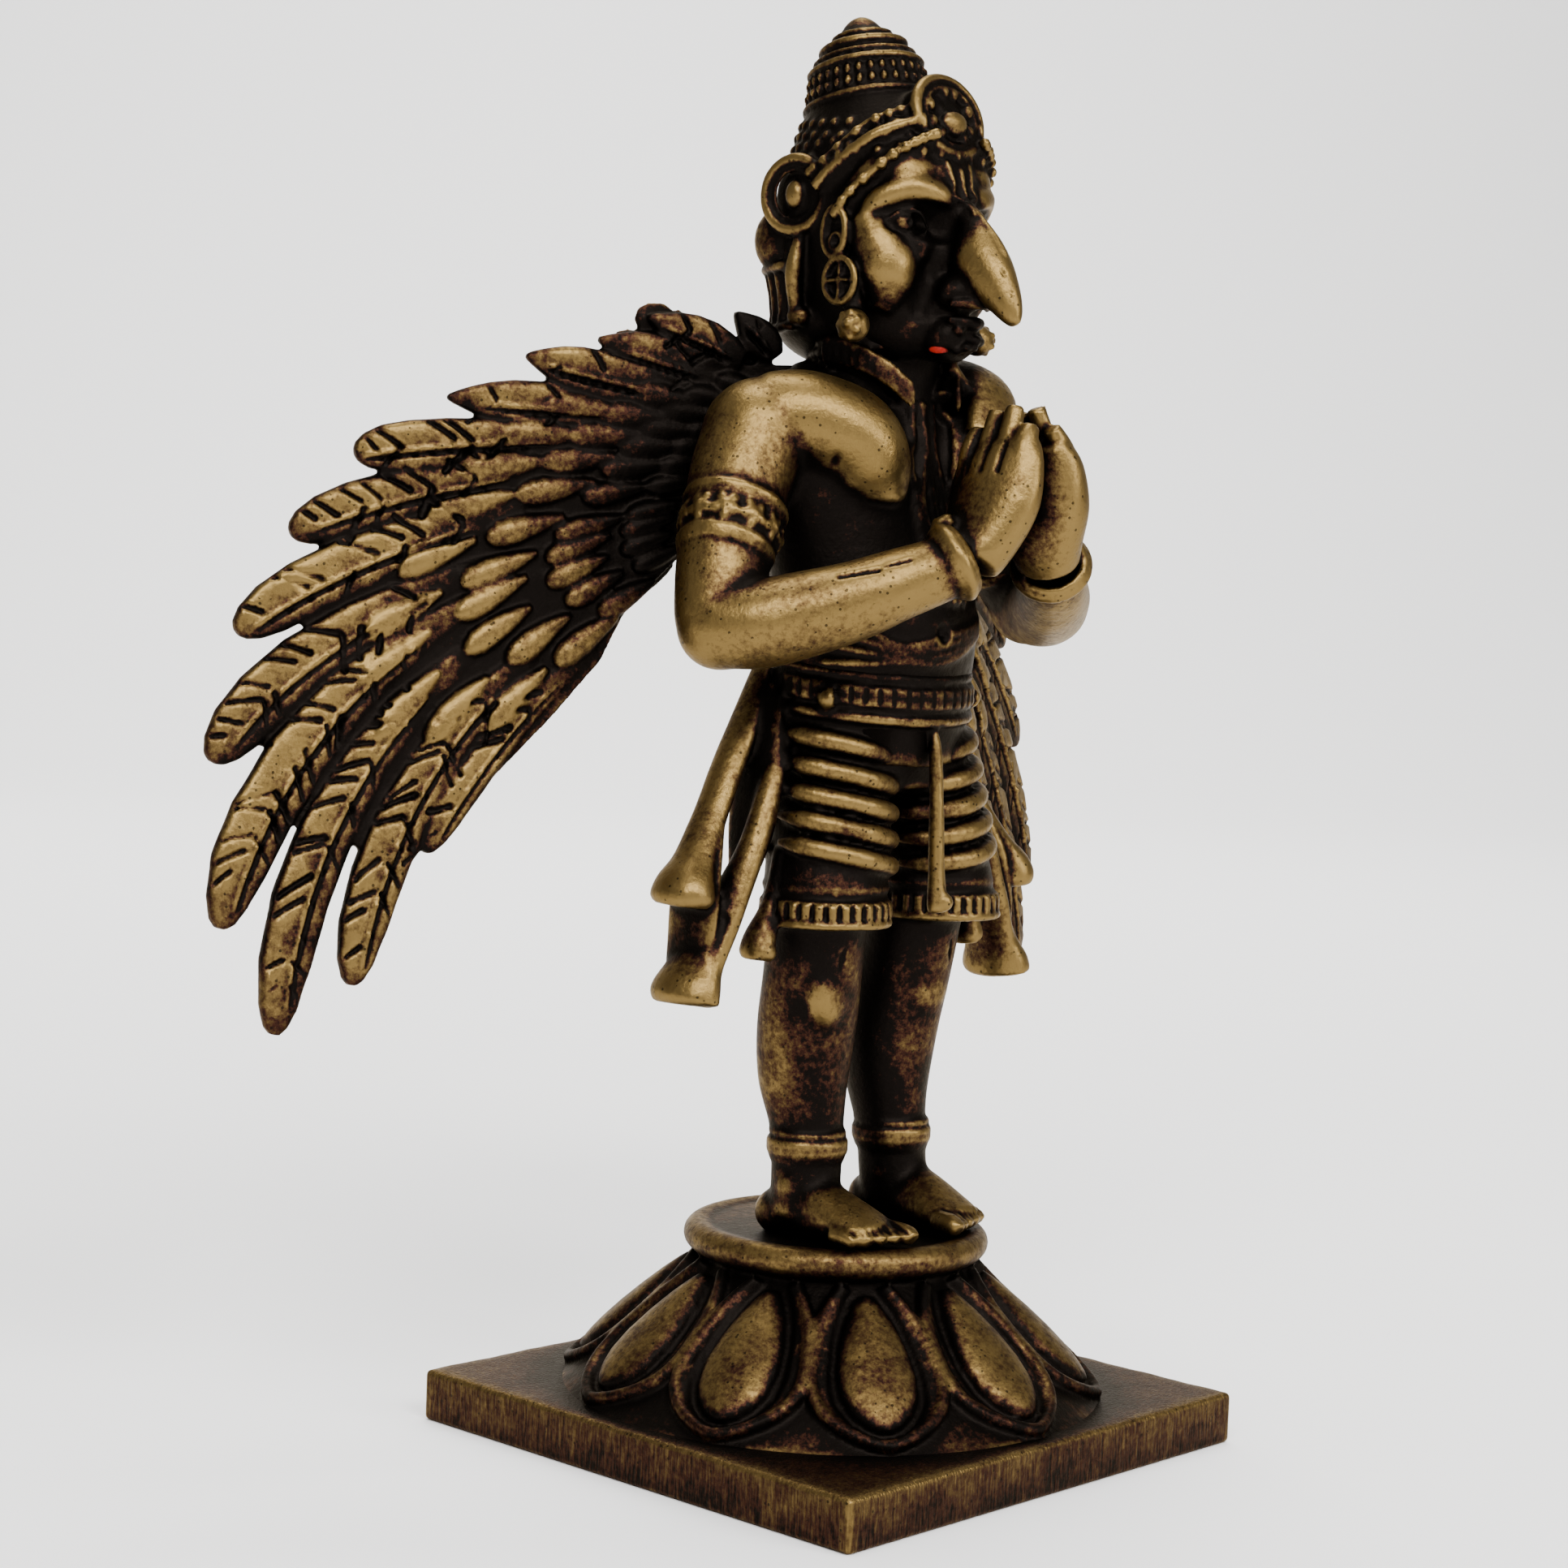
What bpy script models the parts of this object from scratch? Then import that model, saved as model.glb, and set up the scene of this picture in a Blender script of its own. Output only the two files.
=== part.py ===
"""A small brass garuda: a winged, beaked attendant with joined palms, standing on
a lotus and a square plate, cast in one piece. Metres, +Z up. The origin is the
middle of the plate's underside, and the figure faces -Y."""

import bpy
import bmesh
from math import cos, pi, radians, sin
from mathutils import Matrix, Vector

# Driving dimensions, in metres
FIGURE_HEIGHT = 0.100
PLATE_SIDE = 0.0482
PLATE_THICKNESS = 0.0043
PLATE_EDGE_RADIUS = 0.0005
LOTUS_HEIGHT = 0.0112
LOTUS_FOOT_RADIUS = 0.0225
DISC_THICKNESS = 0.0025
DISC_RADIUS = 0.0128
NECK_RADIUS = 0.0110
PETAL_COUNT = 10
PETAL_RELIEF = 0.0012
PETAL_RIM = 0.00055

# Fineness of the cast skin
FIGURE_GRAIN = 0.00042
LOTUS_GRAIN = 0.00040
FIGURE_TRIANGLES = 7500
LOTUS_TRIANGLES = 2000
SOFTEN_COUNT = 2

# The figure's own measures are hundredths of its height
SHARE = FIGURE_HEIGHT / 100.0
PLATE_TOP = PLATE_THICKNESS
DISC_FLOOR = PLATE_TOP + LOTUS_HEIGHT
DISC_TOP = DISC_FLOOR + DISC_THICKNESS
SINK = 0.0006

SIDES = (-1, 1)
ELBOW_DROP = {-1: 1.1, 1: -1.3}
ROLL_COUNT = 5
TOP_ROLL = 40.2
ROLL_STEP = 2.18
X_AXIS = Vector((1, 0, 0))
Y_AXIS = Vector((0, 1, 0))
Z_AXIS = Vector((0, 0, 1))


def clear_scene():
    """Remove whatever the file opened with."""
    for item in list(bpy.data.objects):
        bpy.data.objects.remove(item, do_unlink=True)


def smooth_path(points, steps):
    """Points of a soft curve through the given rows of numbers."""
    rows = [Vector(point) for point in points]
    path = []
    for index in range(len(rows) - 1):
        before = rows[max(index - 1, 0)]
        start = rows[index]
        end = rows[index + 1]
        after = rows[min(index + 2, len(rows) - 1)]
        for step in range(steps):
            part = step / steps
            lead_in = (end - before) * 0.5
            lead_out = (after - start) * 0.5
            square = part * part
            cube = square * part
            path.append(start * (2 * cube - 3 * square + 1)
                        + lead_in * (cube - 2 * square + part)
                        + end * (3 * square - 2 * cube)
                        + lead_out * (cube - square))
    path.append(rows[-1])
    return path


def section_frame(centre, along, wide, half_wide, half_deep):
    """The placing of one oval section: its wide axis, its deep axis and its run."""
    run = along.normalized()
    deep = run.cross(wide).normalized()
    side = deep.cross(run).normalized()
    frame = Matrix.Identity(4)
    for row in range(3):
        frame[row][0] = side[row] * half_wide
        frame[row][1] = deep[row] * half_deep
        frame[row][2] = run[row]
        frame[row][3] = centre[row]
    return frame


def add_form(bm, form):
    """Put a finished form, which has a small mesh of its own, with the others."""
    mesh = bpy.data.meshes.new("form")
    form.to_mesh(mesh)
    form.free()
    bm.from_mesh(mesh)
    bpy.data.meshes.remove(mesh)


def loft(bm, frames, sides):
    """A closed limb: one ring carried by extrusion from section to section."""
    form = bmesh.new()
    first = bmesh.ops.create_circle(form, cap_ends=True, segments=sides, radius=1.0,
                                    matrix=frames[0])
    ring = list({edge for vert in first["verts"] for edge in vert.link_edges})
    for here, there in zip(frames, frames[1:]):
        grown = bmesh.ops.extrude_edge_only(form, edges=ring)["geom"]
        verts = [item for item in grown if isinstance(item, bmesh.types.BMVert)]
        fresh = set(verts)
        ring = [item for item in grown if isinstance(item, bmesh.types.BMEdge)
                and item.verts[0] in fresh and item.verts[1] in fresh]
        bmesh.ops.transform(form, matrix=there @ here.inverted(), verts=verts)
    bmesh.ops.edgeloop_fill(form, edges=ring)
    bmesh.ops.recalc_face_normals(form, faces=form.faces)
    add_form(bm, form)


def limb(bm, stations, wide=X_AXIS, steps=3, sides=14):
    """A limb through stations of x, y, z, half width and half depth."""
    rows = [station if len(station) == 5 else (*station, station[3])
            for station in stations]
    places = smooth_path([row[:3] for row in rows], steps)
    widths = smooth_path([(row[3], row[4], 0.0) for row in rows], steps)
    frames = []
    for index, centre in enumerate(places):
        ahead = places[min(index + 1, len(places) - 1)]
        behind = places[max(index - 1, 0)]
        size = widths[index]
        frames.append(section_frame(centre, ahead - behind, wide, size[0], size[1]))
    loft(bm, frames, sides)


def ball(bm, centre, radii, turn=None, segments=14, rings=9):
    """A rounded mass with its own radius along each axis."""
    place = Matrix.Translation(centre) @ (turn or Matrix.Identity(4))
    form = bmesh.new()
    bmesh.ops.create_uvsphere(form, u_segments=segments, v_segments=rings, radius=1.0,
                              matrix=place @ Matrix.Diagonal((*radii, 1.0)))
    add_form(bm, form)


def hoop(bm, centre, radii, thick, turn=None, steps=24, sides=8):
    """A round ring lying flat before it is turned."""
    place = Matrix.Translation(centre) @ (turn or Matrix.Identity(4))
    places = []
    for step in range(steps + 1):
        angle = 2 * pi * step / steps
        spot = Vector((cos(angle) * radii[0], sin(angle) * radii[1], 0))
        run = Vector((-sin(angle) * radii[0], cos(angle) * radii[1], 0))
        frame = section_frame(spot, run, Z_AXIS, thick, thick)
        places.append(place @ frame)
    loft(bm, places, sides)


def mirrored(point, side):
    """A point on the figure's left, moved to the asked side."""
    return (point[0] * side, *point[1:])


def torso(bm):
    """Hips, belly and chest, with the two breasts and the neck."""
    limb(bm, [(0, -1.0, 36.0, 9.0, 7.0), (0, -1.2, 41.0, 9.9, 7.4),
              (0, -1.5, 45.0, 9.5, 7.0), (0, -1.7, 50.0, 9.6, 7.5),
              (0, -1.0, 55.0, 10.0, 7.3), (0, -0.2, 60.0, 11.2, 7.2),
              (0, 0.4, 64.5, 12.4, 6.9), (0, 0.9, 68.0, 10.6, 5.6),
              (0, 0.4, 70.5, 6.4, 4.8)], sides=24)
    limb(bm, [(0, -0.6, 67.0, 5.4, 5.2), (0, -1.2, 76.0, 5.0, 5.2)], sides=16)
    for side in SIDES:
        ball(bm, (5.0 * side, -4.4, 62.4), (4.8, 3.3, 3.8))


def head(bm):
    """Skull, jaw, cheeks, brows and the rounded hair behind them."""
    limb(bm, [(0, -4.2, 71.6, 3.2, 4.0), (0, -3.4, 73.6, 5.0, 5.8),
              (0, -1.6, 77.0, 6.8, 7.4), (0, -1.0, 81.0, 7.2, 8.2),
              (0, -0.5, 85.0, 7.4, 8.2), (0, 0.0, 89.0, 6.8, 7.4)], sides=20)
    ball(bm, (0, 1.8, 79.5), (7.4, 7.0, 7.5))
    ball(bm, (0, 2.3, 74.8), (6.7, 6.0, 3.6))
    for side in SIDES:
        ball(bm, (4.2 * side, -6.6, 78.6), (2.4, 2.1, 2.4))
        limb(bm, [(1.2 * side, -9.6, 82.9, 0.7), (3.6 * side, -8.6, 84.6, 0.9),
                  (6.2 * side, -6.1, 83.8, 0.6)], wide=Z_AXIS, sides=8)
        ball(bm, (3.9 * side, -7.9, 82.0), (1.3, 0.9, 0.9), segments=10, rings=7)
    ball(bm, (0, -7.7, 74.8), (2.3, 1.2, 0.7), segments=10, rings=7)
    ball(bm, (0, -7.0, 72.7), (2.2, 1.8, 1.3), segments=10, rings=7)


def beak(bm):
    """The hooked beak, from between the brows down to its point."""
    limb(bm, [(0, -7.6, 80.4, 2.7, 3.2), (0, -10.1, 79.5, 2.6, 3.0),
              (0, -12.3, 78.0, 2.1, 2.5), (0, -13.9, 76.4, 1.5, 1.8),
              (0, -14.9, 75.0, 0.9, 1.0), (0, -15.3, 73.9, 0.3, 0.3)], steps=2)


def crown(bm):
    """The tiered crown, leaning back, with its front medallion and side discs."""
    lean = 0.20
    profile = [(85.5, 7.6), (88.0, 7.3), (90.0, 6.6), (92.0, 5.6), (93.3, 5.0),
               (93.7, 4.8), (95.3, 4.5), (96.4, 4.0), (97.6, 2.9), (98.7, 1.9),
               (99.5, 1.2), (100.0, 0.3)]
    limb(bm, [(0, lean * (height - 86.5) - 0.1, height, radius, radius * 1.06)
              for height, radius in profile], steps=2, sides=24)
    tilt = Matrix.Rotation(-lean, 4, "X")
    for height, radius in ((93.9, 4.6), (95.6, 4.3), (97.3, 2.9)):
        hoop(bm, (0, lean * (height - 86.5) - 0.1, height), (radius, radius), 0.55, tilt)
    facing = Matrix.Rotation(radians(72), 4, "X")
    hoop(bm, (0, -7.0, 91.2), (3.6, 3.0), 0.6, facing)
    ball(bm, (0, -5.9, 91.2), (3.0, 1.8, 2.6))
    for side in SIDES:
        turned = Matrix.Rotation(radians(13) * -side, 4, "Z") @ Matrix.Rotation(pi / 2, 4, "Y")
        hoop(bm, (7.7 * side, 1.6, 84.5), (2.3, 2.3), 0.6, turned)
        ball(bm, (7.6 * side, 1.6, 84.5), (1.1, 1.2, 1.2), segments=10, rings=7)
        ball(bm, (6.9 * side, 1.6, 84.5), (1.0, 2.4, 2.4), segments=10, rings=7)


def ear_drops(bm):
    """Each ear with its ring, its round drop and its bead."""
    for side in SIDES:
        turned = Matrix.Rotation(pi / 2, 4, "Y")
        hoop(bm, (7.9 * side, -3.9, 81.2), (1.5, 0.9), 0.55, turned, steps=14, sides=6)
        ball(bm, (7.9 * side, -4.2, 77.4), (0.8, 1.7, 1.9), segments=12, rings=7)
        ball(bm, (7.9 * side, -5.3, 73.9), (1.3, 1.35, 1.3), segments=10, rings=7)
        ball(bm, (7.0 * side, -4.4, 76.0), (1.3, 1.2, 3.4), segments=10, rings=7)


def arms(bm):
    """Upper arms hanging, forearms brought forward and up to the joined palms."""
    for side in SIDES:
        drop = ELBOW_DROP[side]
        ball(bm, (12.0 * side, 0.8, 65.0), (4.7, 4.6, 4.6))
        upper = [(11.6, 0.9, 65.8, 4.5), (14.3, 0.4, 61.5, 4.2), (16.8, -0.7, 56.8, 3.8),
                 (18.6, -1.9, 52.8 - drop, 3.6), (19.3, -2.6, 50.6 - drop, 3.4)]
        lower = [(19.5, -2.2, 50.9 - drop, 3.4), (17.2, -5.8, 51.0 - drop * 0.8, 3.5),
                 (12.8, -10.0, 52.3 - drop * 0.4, 3.2), (8.6, -13.4, 54.0, 2.7),
                 (5.6, -15.4, 55.4, 2.5)]
        limb(bm, [mirrored(row, side) for row in upper], wide=Y_AXIS)
        limb(bm, [mirrored(row, side) for row in lower], wide=Z_AXIS)
        band = Matrix.Rotation(radians(27) * side, 4, "Y")
        for height in (55.4, 58.8):
            out = 17.4 - (height - 55.4) * 0.5
            hoop(bm, (out * side, -1.3, height), (3.95, 3.95), 0.5, band)
        wrist = Matrix.Rotation(radians(40) * side, 4, "Z") @ Matrix.Rotation(radians(64), 4, "X")
        hoop(bm, (6.7 * side, -14.6, 54.9), (2.9, 2.9), 0.6, wrist, steps=18)


def hands(bm):
    """Two flat hands pressed together, fingers up, thumbs on the chest side."""
    for side in SIDES:
        palm = [(5.2, -15.8, 55.6, 2.5, 2.4), (3.7, -16.0, 57.8, 3.1, 2.2),
                (2.5, -16.2, 60.6, 3.9, 1.9), (1.9, -16.3, 63.2, 3.8, 1.5)]
        limb(bm, [mirrored(row, side) for row in palm], wide=Y_AXIS)
        for place in range(4):
            lie = -13.5 - 1.85 * place
            tip = 66.2 + (0.8, 1.6, 1.6, 0.6)[place]
            finger = [(1.7, lie, 62.0, 1.0), (1.4, lie - 0.1, 65.0, 1.0),
                      (1.1, lie + 0.1, tip, 0.7)]
            limb(bm, [mirrored(row, side) for row in finger], wide=Y_AXIS, sides=8)
        thumb = [(2.6, -13.0, 58.0, 1.2), (1.7, -12.4, 61.0, 1.1), (1.0, -12.3, 63.6, 0.8)]
        limb(bm, [mirrored(row, side) for row in thumb], wide=Y_AXIS, sides=8)


def legs(bm):
    """Bare shins with knees, calves, ankle rings and feet."""
    for side in SIDES:
        shin = [(6.2, -2.2, 27.0, 4.3), (5.6, -1.3, 21.0, 4.2), (5.3, -0.4, 16.5, 4.1),
                (5.2, -0.5, 12.0, 3.7), (5.2, -1.0, 8.0, 3.1), (5.4, -1.3, 4.0, 3.0),
                (5.7, -1.5, 1.4, 2.9)]
        limb(bm, [mirrored(row, side) for row in shin])
        ball(bm, (5.9 * side, -4.8, 20.3), (2.0, 1.7, 2.1))
        for height in (6.6, 8.6):
            hoop(bm, (5.2 * side, -1.0, height), (3.2, 3.2), 0.45)
        ball(bm, (5.9 * side, -0.2, 1.3), (2.6, 3.0, 2.3))
        foot = [(5.9, -1.0, 2.2, 2.5, 3.0), (5.6, -4.4, 1.9, 2.6, 2.6),
                (5.3, -7.4, 1.3, 2.9, 1.7), (5.1, -9.4, 0.8, 2.8, 1.1)]
        limb(bm, [mirrored(row, side) for row in foot])
        for toe in range(5):
            across = 2.9 + 1.25 * toe
            reach = -11.5 + 0.45 * toe
            ball(bm, (across * side, reach + 1.2, 0.8), (0.72, 1.3, 0.75),
                 segments=8, rings=6)


def dhoti(bm):
    """The short wrapped cloth: rolled folds round each thigh, hem and belt."""
    for side in SIDES:
        thigh = [(4.6, -0.9, 43.5, 4.9, 6.0), (5.0, -1.5, 38.5, 4.7, 5.4),
                 (5.9, -2.5, 33.0, 4.6, 5.0), (6.3, -3.0, 30.6, 4.8, 5.1),
                 (6.75, -3.5, 28.2, 4.95, 5.1), (6.9, -3.7, 25.8, 4.6, 4.75)]
        limb(bm, [mirrored(row, side) for row in thigh], sides=18)
        slope = Matrix.Rotation(radians(-10) * side, 4, "Y")
        for fold in range(ROLL_COUNT):
            height = TOP_ROLL - ROLL_STEP * fold
            slide = (42.0 - height) / 16.0
            hoop(bm, ((4.7 + 2.3 * slide) * side, -1.0 - 2.8 * slide, height),
                 (5.0, 5.45), 0.80, slope, steps=22, sides=6)
        hoop(bm, (6.85 * side, -3.65, 27.3), (4.85, 5.0), 0.62, None, steps=22, sides=6)
        hoop(bm, (6.9 * side, -3.7, 26.1), (5.05, 5.2), 0.42, None, steps=22, sides=6)
    for height, thick in ((43.3, 0.5), (45.1, 0.9), (46.8, 0.4)):
        hoop(bm, (0, -1.5, height), (9.35, 7.1), thick, None, steps=28, sides=6)
    limb(bm, [(0, -8.4, 42.6, 0.5, 0.5), (0, -9.1, 36.0, 0.75, 0.75),
              (0, -9.4, 30.6, 0.8, 0.8), (0, -9.7, 27.0, 0.95, 0.8)], sides=8)
    ball(bm, (0.4, -10.1, 27.8), (0.9, 0.75, 0.85), segments=10, rings=7)


def scarf(bm, side, run, flare):
    """A hanging cloth end that opens like a bell at its foot."""
    limb(bm, [mirrored(row, side) for row in run], wide=Y_AXIS, sides=10)
    foot = run[-1]
    lip = Matrix.Rotation(radians(8) * side, 4, "Y")
    hoop(bm, (foot[0] * side, foot[1], foot[2]), (flare * 0.62, flare), 0.5, lip,
         steps=16, sides=6)


def scarves(bm):
    """Two long scarf ends and a short one beside each thigh."""
    for side in SIDES:
        scarf(bm, side, [(9.0, 1.8, 46.0, 1.4, 1.1), (12.9, 1.5, 40.0, 1.8, 1.2),
                         (16.6, 0.8, 34.6, 1.9, 1.3), (19.2, 0.0, 30.2, 2.3, 1.6),
                         (20.2, -0.2, 28.2, 3.1, 2.1)], 3.2)
        scarf(bm, side, [(9.2, -0.8, 41.5, 1.0, 0.9), (12.2, -1.8, 36.0, 1.3, 1.1),
                         (14.8, -2.0, 31.0, 1.5, 1.2), (17.2, -1.0, 26.4, 2.8, 1.4),
                         (18.9, -0.3, 22.6, 2.8, 1.6), (19.5, -0.2, 20.2, 3.4, 2.2)], 3.5)
        scarf(bm, side, [(10.4, -2.0, 32.0, 0.8, 0.7), (11.6, -2.2, 27.6, 1.1, 0.9),
                         (12.8, -2.0, 24.4, 1.6, 1.3), (13.0, -2.0, 22.8, 1.8, 1.4)], 1.4)
        limb(bm, [mirrored(row, side) for row in
                  [(15.8, 0.4, 35.0, 1.4, 0.9), (18.0, 0.0, 30.0, 2.8, 1.1),
                   (18.6, -0.2, 25.0, 2.8, 1.1)]], wide=Y_AXIS, sides=8)


def shoulder_cloth(bm):
    """The folded cloth over the left shoulder, from the nape down the breast."""
    for fold in range(3):
        out = 5.6 + 1.9 * fold
        limb(bm, [(out - 1.0, 4.4, 68.6 - 0.5 * fold, 0.9), (out, 0.4, 70.6 - 0.7 * fold, 1.0),
                  (out - 0.3, -4.6, 69.4 - 0.8 * fold, 1.0),
                  (out - 1.6, -7.6, 65.6 - 0.8 * fold, 0.9)], sides=8)


# The wing in its own sheet: outward and height, in hundredths of the figure
WING_ROOT = (9.0, 5.0)
WING_BACK_HIGH = 27.5
WING_BACK_LOW = 20.5
WING_HALF_THICKNESS = 0.6
WING_STARTS = ((-3.0, 70.0), (-3.0, 57.0))
FEATHER_TIPS = ((1.4, 75.0), (8.8, 74.2), (12.9, 72.2), (18.8, 70.5), (25.1, 66.9),
                (32.4, 62.2), (37.3, 55.7), (41.5, 47.9), (43.4, 37.9), (42.9, 25.3),
                (38.6, 17.0), (32.5, 20.7), (27.6, 28.5))
FEATHER_TURNS = ((-2.5, 71.5), (1.0, 71.6), (4.5, 70.0), (10.5, 68.6), (15.0, 66.6),
                 (19.8, 64.6), (23.5, 62.3), (27.5, 58.8), (34.0, 53.0), (36.0, 52.0),
                 (35.8, 48.8), (28.4, 47.4), (19.5, 46.5))
FEATHER_HALF_WIDTHS = (2.6, 2.5, 2.4, 2.3, 2.2, 2.2, 2.3, 2.4, 2.5, 2.55, 2.55, 2.45)
WING_SHEET = ((-4.0, 71.0), (4.0, 70.8), (11.0, 69.5), (17.0, 67.3), (24.0, 63.8),
              (29.0, 60.0), (32.8, 55.2), (34.6, 49.5), (35.6, 42.6), (34.4, 36.4),
              (31.6, 31.0), (29.0, 28.6), (26.4, 31.7), (23.1, 34.8), (16.6, 41.3),
              (12.1, 46.4), (10.0, 50.7), (5.3, 55.3), (-4.0, 57.0))
LONG_FEATHER_START = 0.42
COVERT_ROWS = ((0.16, 3.8, 0.85, 1.6), (0.25, 4.9, 1.0, 2.0), (0.37, 6.2, 1.2, 3.4),
               (0.53, 7.4, 1.4, 5.0))
COVERT_SPACING = 0.93


def wing_point(side, out, height, lift=0.0):
    """A place on the wing: out along its sheet, up, and lifted off its front."""
    low = min(max((58.0 - height) / 38.0, 0.0), 1.0)
    back = radians(WING_BACK_HIGH + (WING_BACK_LOW - WING_BACK_HIGH) * low)
    x = WING_ROOT[0] + out * cos(back) + lift * sin(back)
    y = WING_ROOT[1] + out * sin(back) - lift * cos(back)
    return Vector((x * side, y, height))


def ray_place(ray, part):
    """A place on the curved run of a ray, from the shoulder to its tip. Rays lie on
    the long feathers and also, at broken numbers, between them."""
    last = len(FEATHER_TIPS) - 1
    index = min(int(ray), last - 1)
    between = ray - index
    start = Vector(WING_STARTS[0]).lerp(Vector(WING_STARTS[1]), ray / last)
    turn = Vector(FEATHER_TURNS[index]).lerp(Vector(FEATHER_TURNS[index + 1]), between)
    tip = Vector(FEATHER_TIPS[index]).lerp(Vector(FEATHER_TIPS[index + 1]), between)
    return start.lerp(turn, part).lerp(turn.lerp(tip, part), part)


def feather(bm, side, ray, first, last, half_wide, half_thick, lift):
    """A leaf-shaped feather along a stretch of its ray."""
    shape = ((0.0, 0.5), (0.2, 0.9), (0.45, 1.0), (0.7, 1.0), (0.88, 0.85), (0.96, 0.55),
             (1.0, 0.12))
    frames = []
    for part, fullness in shape:
        spot = ray_place(ray, first + (last - first) * part)
        ahead = ray_place(ray, first + (last - first) * part + 0.01)
        centre = wing_point(side, spot[0], spot[1], lift)
        along = wing_point(side, ahead[0], ahead[1], lift) - centre
        face = wing_point(side, spot[0], spot[1], lift + 1.0) - centre
        frames.append(section_frame(centre, along, face.cross(along), half_wide * fullness,
                                    half_thick * (0.4 + 0.6 * fullness)))
    loft(bm, frames, 8)


def wing(bm, side):
    """The wing's sheet, its long outer feathers and the short rows over them."""
    form = bmesh.new()
    front = [form.verts.new((out, height, WING_HALF_THICKNESS)) for out, height in WING_SHEET]
    sheet = form.faces.new(front)
    grown = bmesh.ops.extrude_face_region(form, geom=[sheet])["geom"]
    bmesh.ops.translate(form, vec=(0, 0, -2 * WING_HALF_THICKNESS),
                        verts=[item for item in grown if isinstance(item, bmesh.types.BMVert)])
    bmesh.ops.triangulate(form, faces=form.faces)
    bmesh.ops.subdivide_edges(form, edges=form.edges, cuts=3, use_grid_fill=True)
    for vert in form.verts:
        vert.co = wing_point(side, *vert.co)
    bmesh.ops.recalc_face_normals(form, faces=form.faces)
    add_form(bm, form)
    for index, half_wide in enumerate(FEATHER_HALF_WIDTHS):
        feather(bm, side, index, LONG_FEATHER_START, 1.0, half_wide, 1.05, 0.1 * (index % 2))
    for row, (middle, length, half_wide, first_ray) in enumerate(COVERT_ROWS):
        ray = first_ray + 0.5 * COVERT_SPACING * (row % 2)
        while ray < len(FEATHER_TIPS) - 0.8:
            half = 0.5 * length / (ray_place(ray, 1.0) - ray_place(ray, 0.0)).length
            feather(bm, side, ray, middle - half, middle + half, half_wide, 0.8, 0.85)
            ray += COVERT_SPACING


def dome_place(part):
    """Radius and height on the lotus dome, from its neck (0) to its foot (1)."""
    reach = NECK_RADIUS + (LOTUS_FOOT_RADIUS - NECK_RADIUS) * part ** 1.1
    height = PLATE_TOP + LOTUS_HEIGHT * 0.96 * (1 - part)
    return Vector((reach, height))


def petal_point(part, around, lift):
    """A place on the lotus: from its neck to its foot, round it, and raised."""
    run = dome_place(part + 0.02) - dome_place(part - 0.02) if part > 0.02 else Vector((1, -2))
    out = Vector((-run[1], run[0])).normalized() * lift
    spot = dome_place(part) + out
    return Vector((spot[0] * cos(around), spot[0] * sin(around), spot[1]))


def petal(bm, around):
    """A swelling almond with a raised, pointed rim round it."""
    spread = pi / PETAL_COUNT
    frames = []
    shape = ((0.10, 0.25), (0.22, 0.66), (0.40, 0.96), (0.58, 1.0), (0.74, 0.78), (0.84, 0.42),
             (0.89, 0.1))
    for index, (part, fullness) in enumerate(shape):
        centre = petal_point(part, around, PETAL_RELIEF * 0.2)
        ahead = petal_point(shape[min(index + 1, len(shape) - 1)][0], around, 0.0)
        behind = petal_point(shape[max(index - 1, 0)][0], around, 0.0)
        across = Vector((-sin(around), cos(around), 0))
        reach = Vector((centre[0], centre[1], 0)).length
        frames.append(section_frame(centre, ahead - behind, across,
                                    reach * spread * 0.58 * fullness,
                                    PETAL_RELIEF * (0.3 + 0.7 * fullness)))
    loft(bm, frames, 12)
    rim = ((0.04, 0.50), (0.22, 0.86), (0.44, 1.0), (0.62, 0.99), (0.76, 0.86), (0.87, 0.55),
           (0.965, 0.0))
    outline = [(part, spread * 0.95 * fullness) for part, fullness in rim]
    outline += [(part, -turn) for part, turn in reversed(outline[:-1])]
    path = [petal_point(part, around + turn, PETAL_RIM * 0.5) for part, turn in outline]
    frames = []
    for index, centre in enumerate(path):
        run = path[min(index + 1, len(path) - 1)] - path[max(index - 1, 0)]
        frames.append(section_frame(centre, run, Z_AXIS, PETAL_RIM, PETAL_RIM))
    loft(bm, frames, 8)


def lotus(bm):
    """The turned dome, its neck and the disc that the feet stand on."""
    foot = PLATE_TOP - SINK
    edge = DISC_THICKNESS * 0.5
    profile = [(LOTUS_FOOT_RADIUS + 0.0008, foot)]
    profile += [tuple(dome_place(1 - step / 8)) for step in range(9)]
    profile += [(NECK_RADIUS, DISC_FLOOR - 0.0003), (DISC_RADIUS - edge, DISC_FLOOR),
                (DISC_RADIUS - edge * 0.3, DISC_FLOOR + edge * 0.3),
                (DISC_RADIUS, DISC_FLOOR + edge),
                (DISC_RADIUS - edge * 0.3, DISC_TOP - edge * 0.3),
                (DISC_RADIUS - edge, DISC_TOP)]
    frames = [section_frame(Vector((0, 0, height)), Z_AXIS, X_AXIS, radius, radius)
              for radius, height in profile]
    loft(bm, frames, 60)
    for index in range(PETAL_COUNT):
        petal(bm, 2 * pi * index / PETAL_COUNT - pi / 2)


def plate(bm):
    """The square plate under the lotus, its edges a little worn."""
    size = Matrix.Diagonal((PLATE_SIDE, PLATE_SIDE, PLATE_THICKNESS, 1.0))
    up = Matrix.Translation((0, 0, PLATE_THICKNESS / 2))
    bmesh.ops.create_cube(bm, size=1.0, matrix=up @ size)
    bmesh.ops.bevel(bm, geom=list(bm.edges), offset=PLATE_EDGE_RADIUS, affect="EDGES",
                    segments=2, profile=0.5, material=-1)


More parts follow.
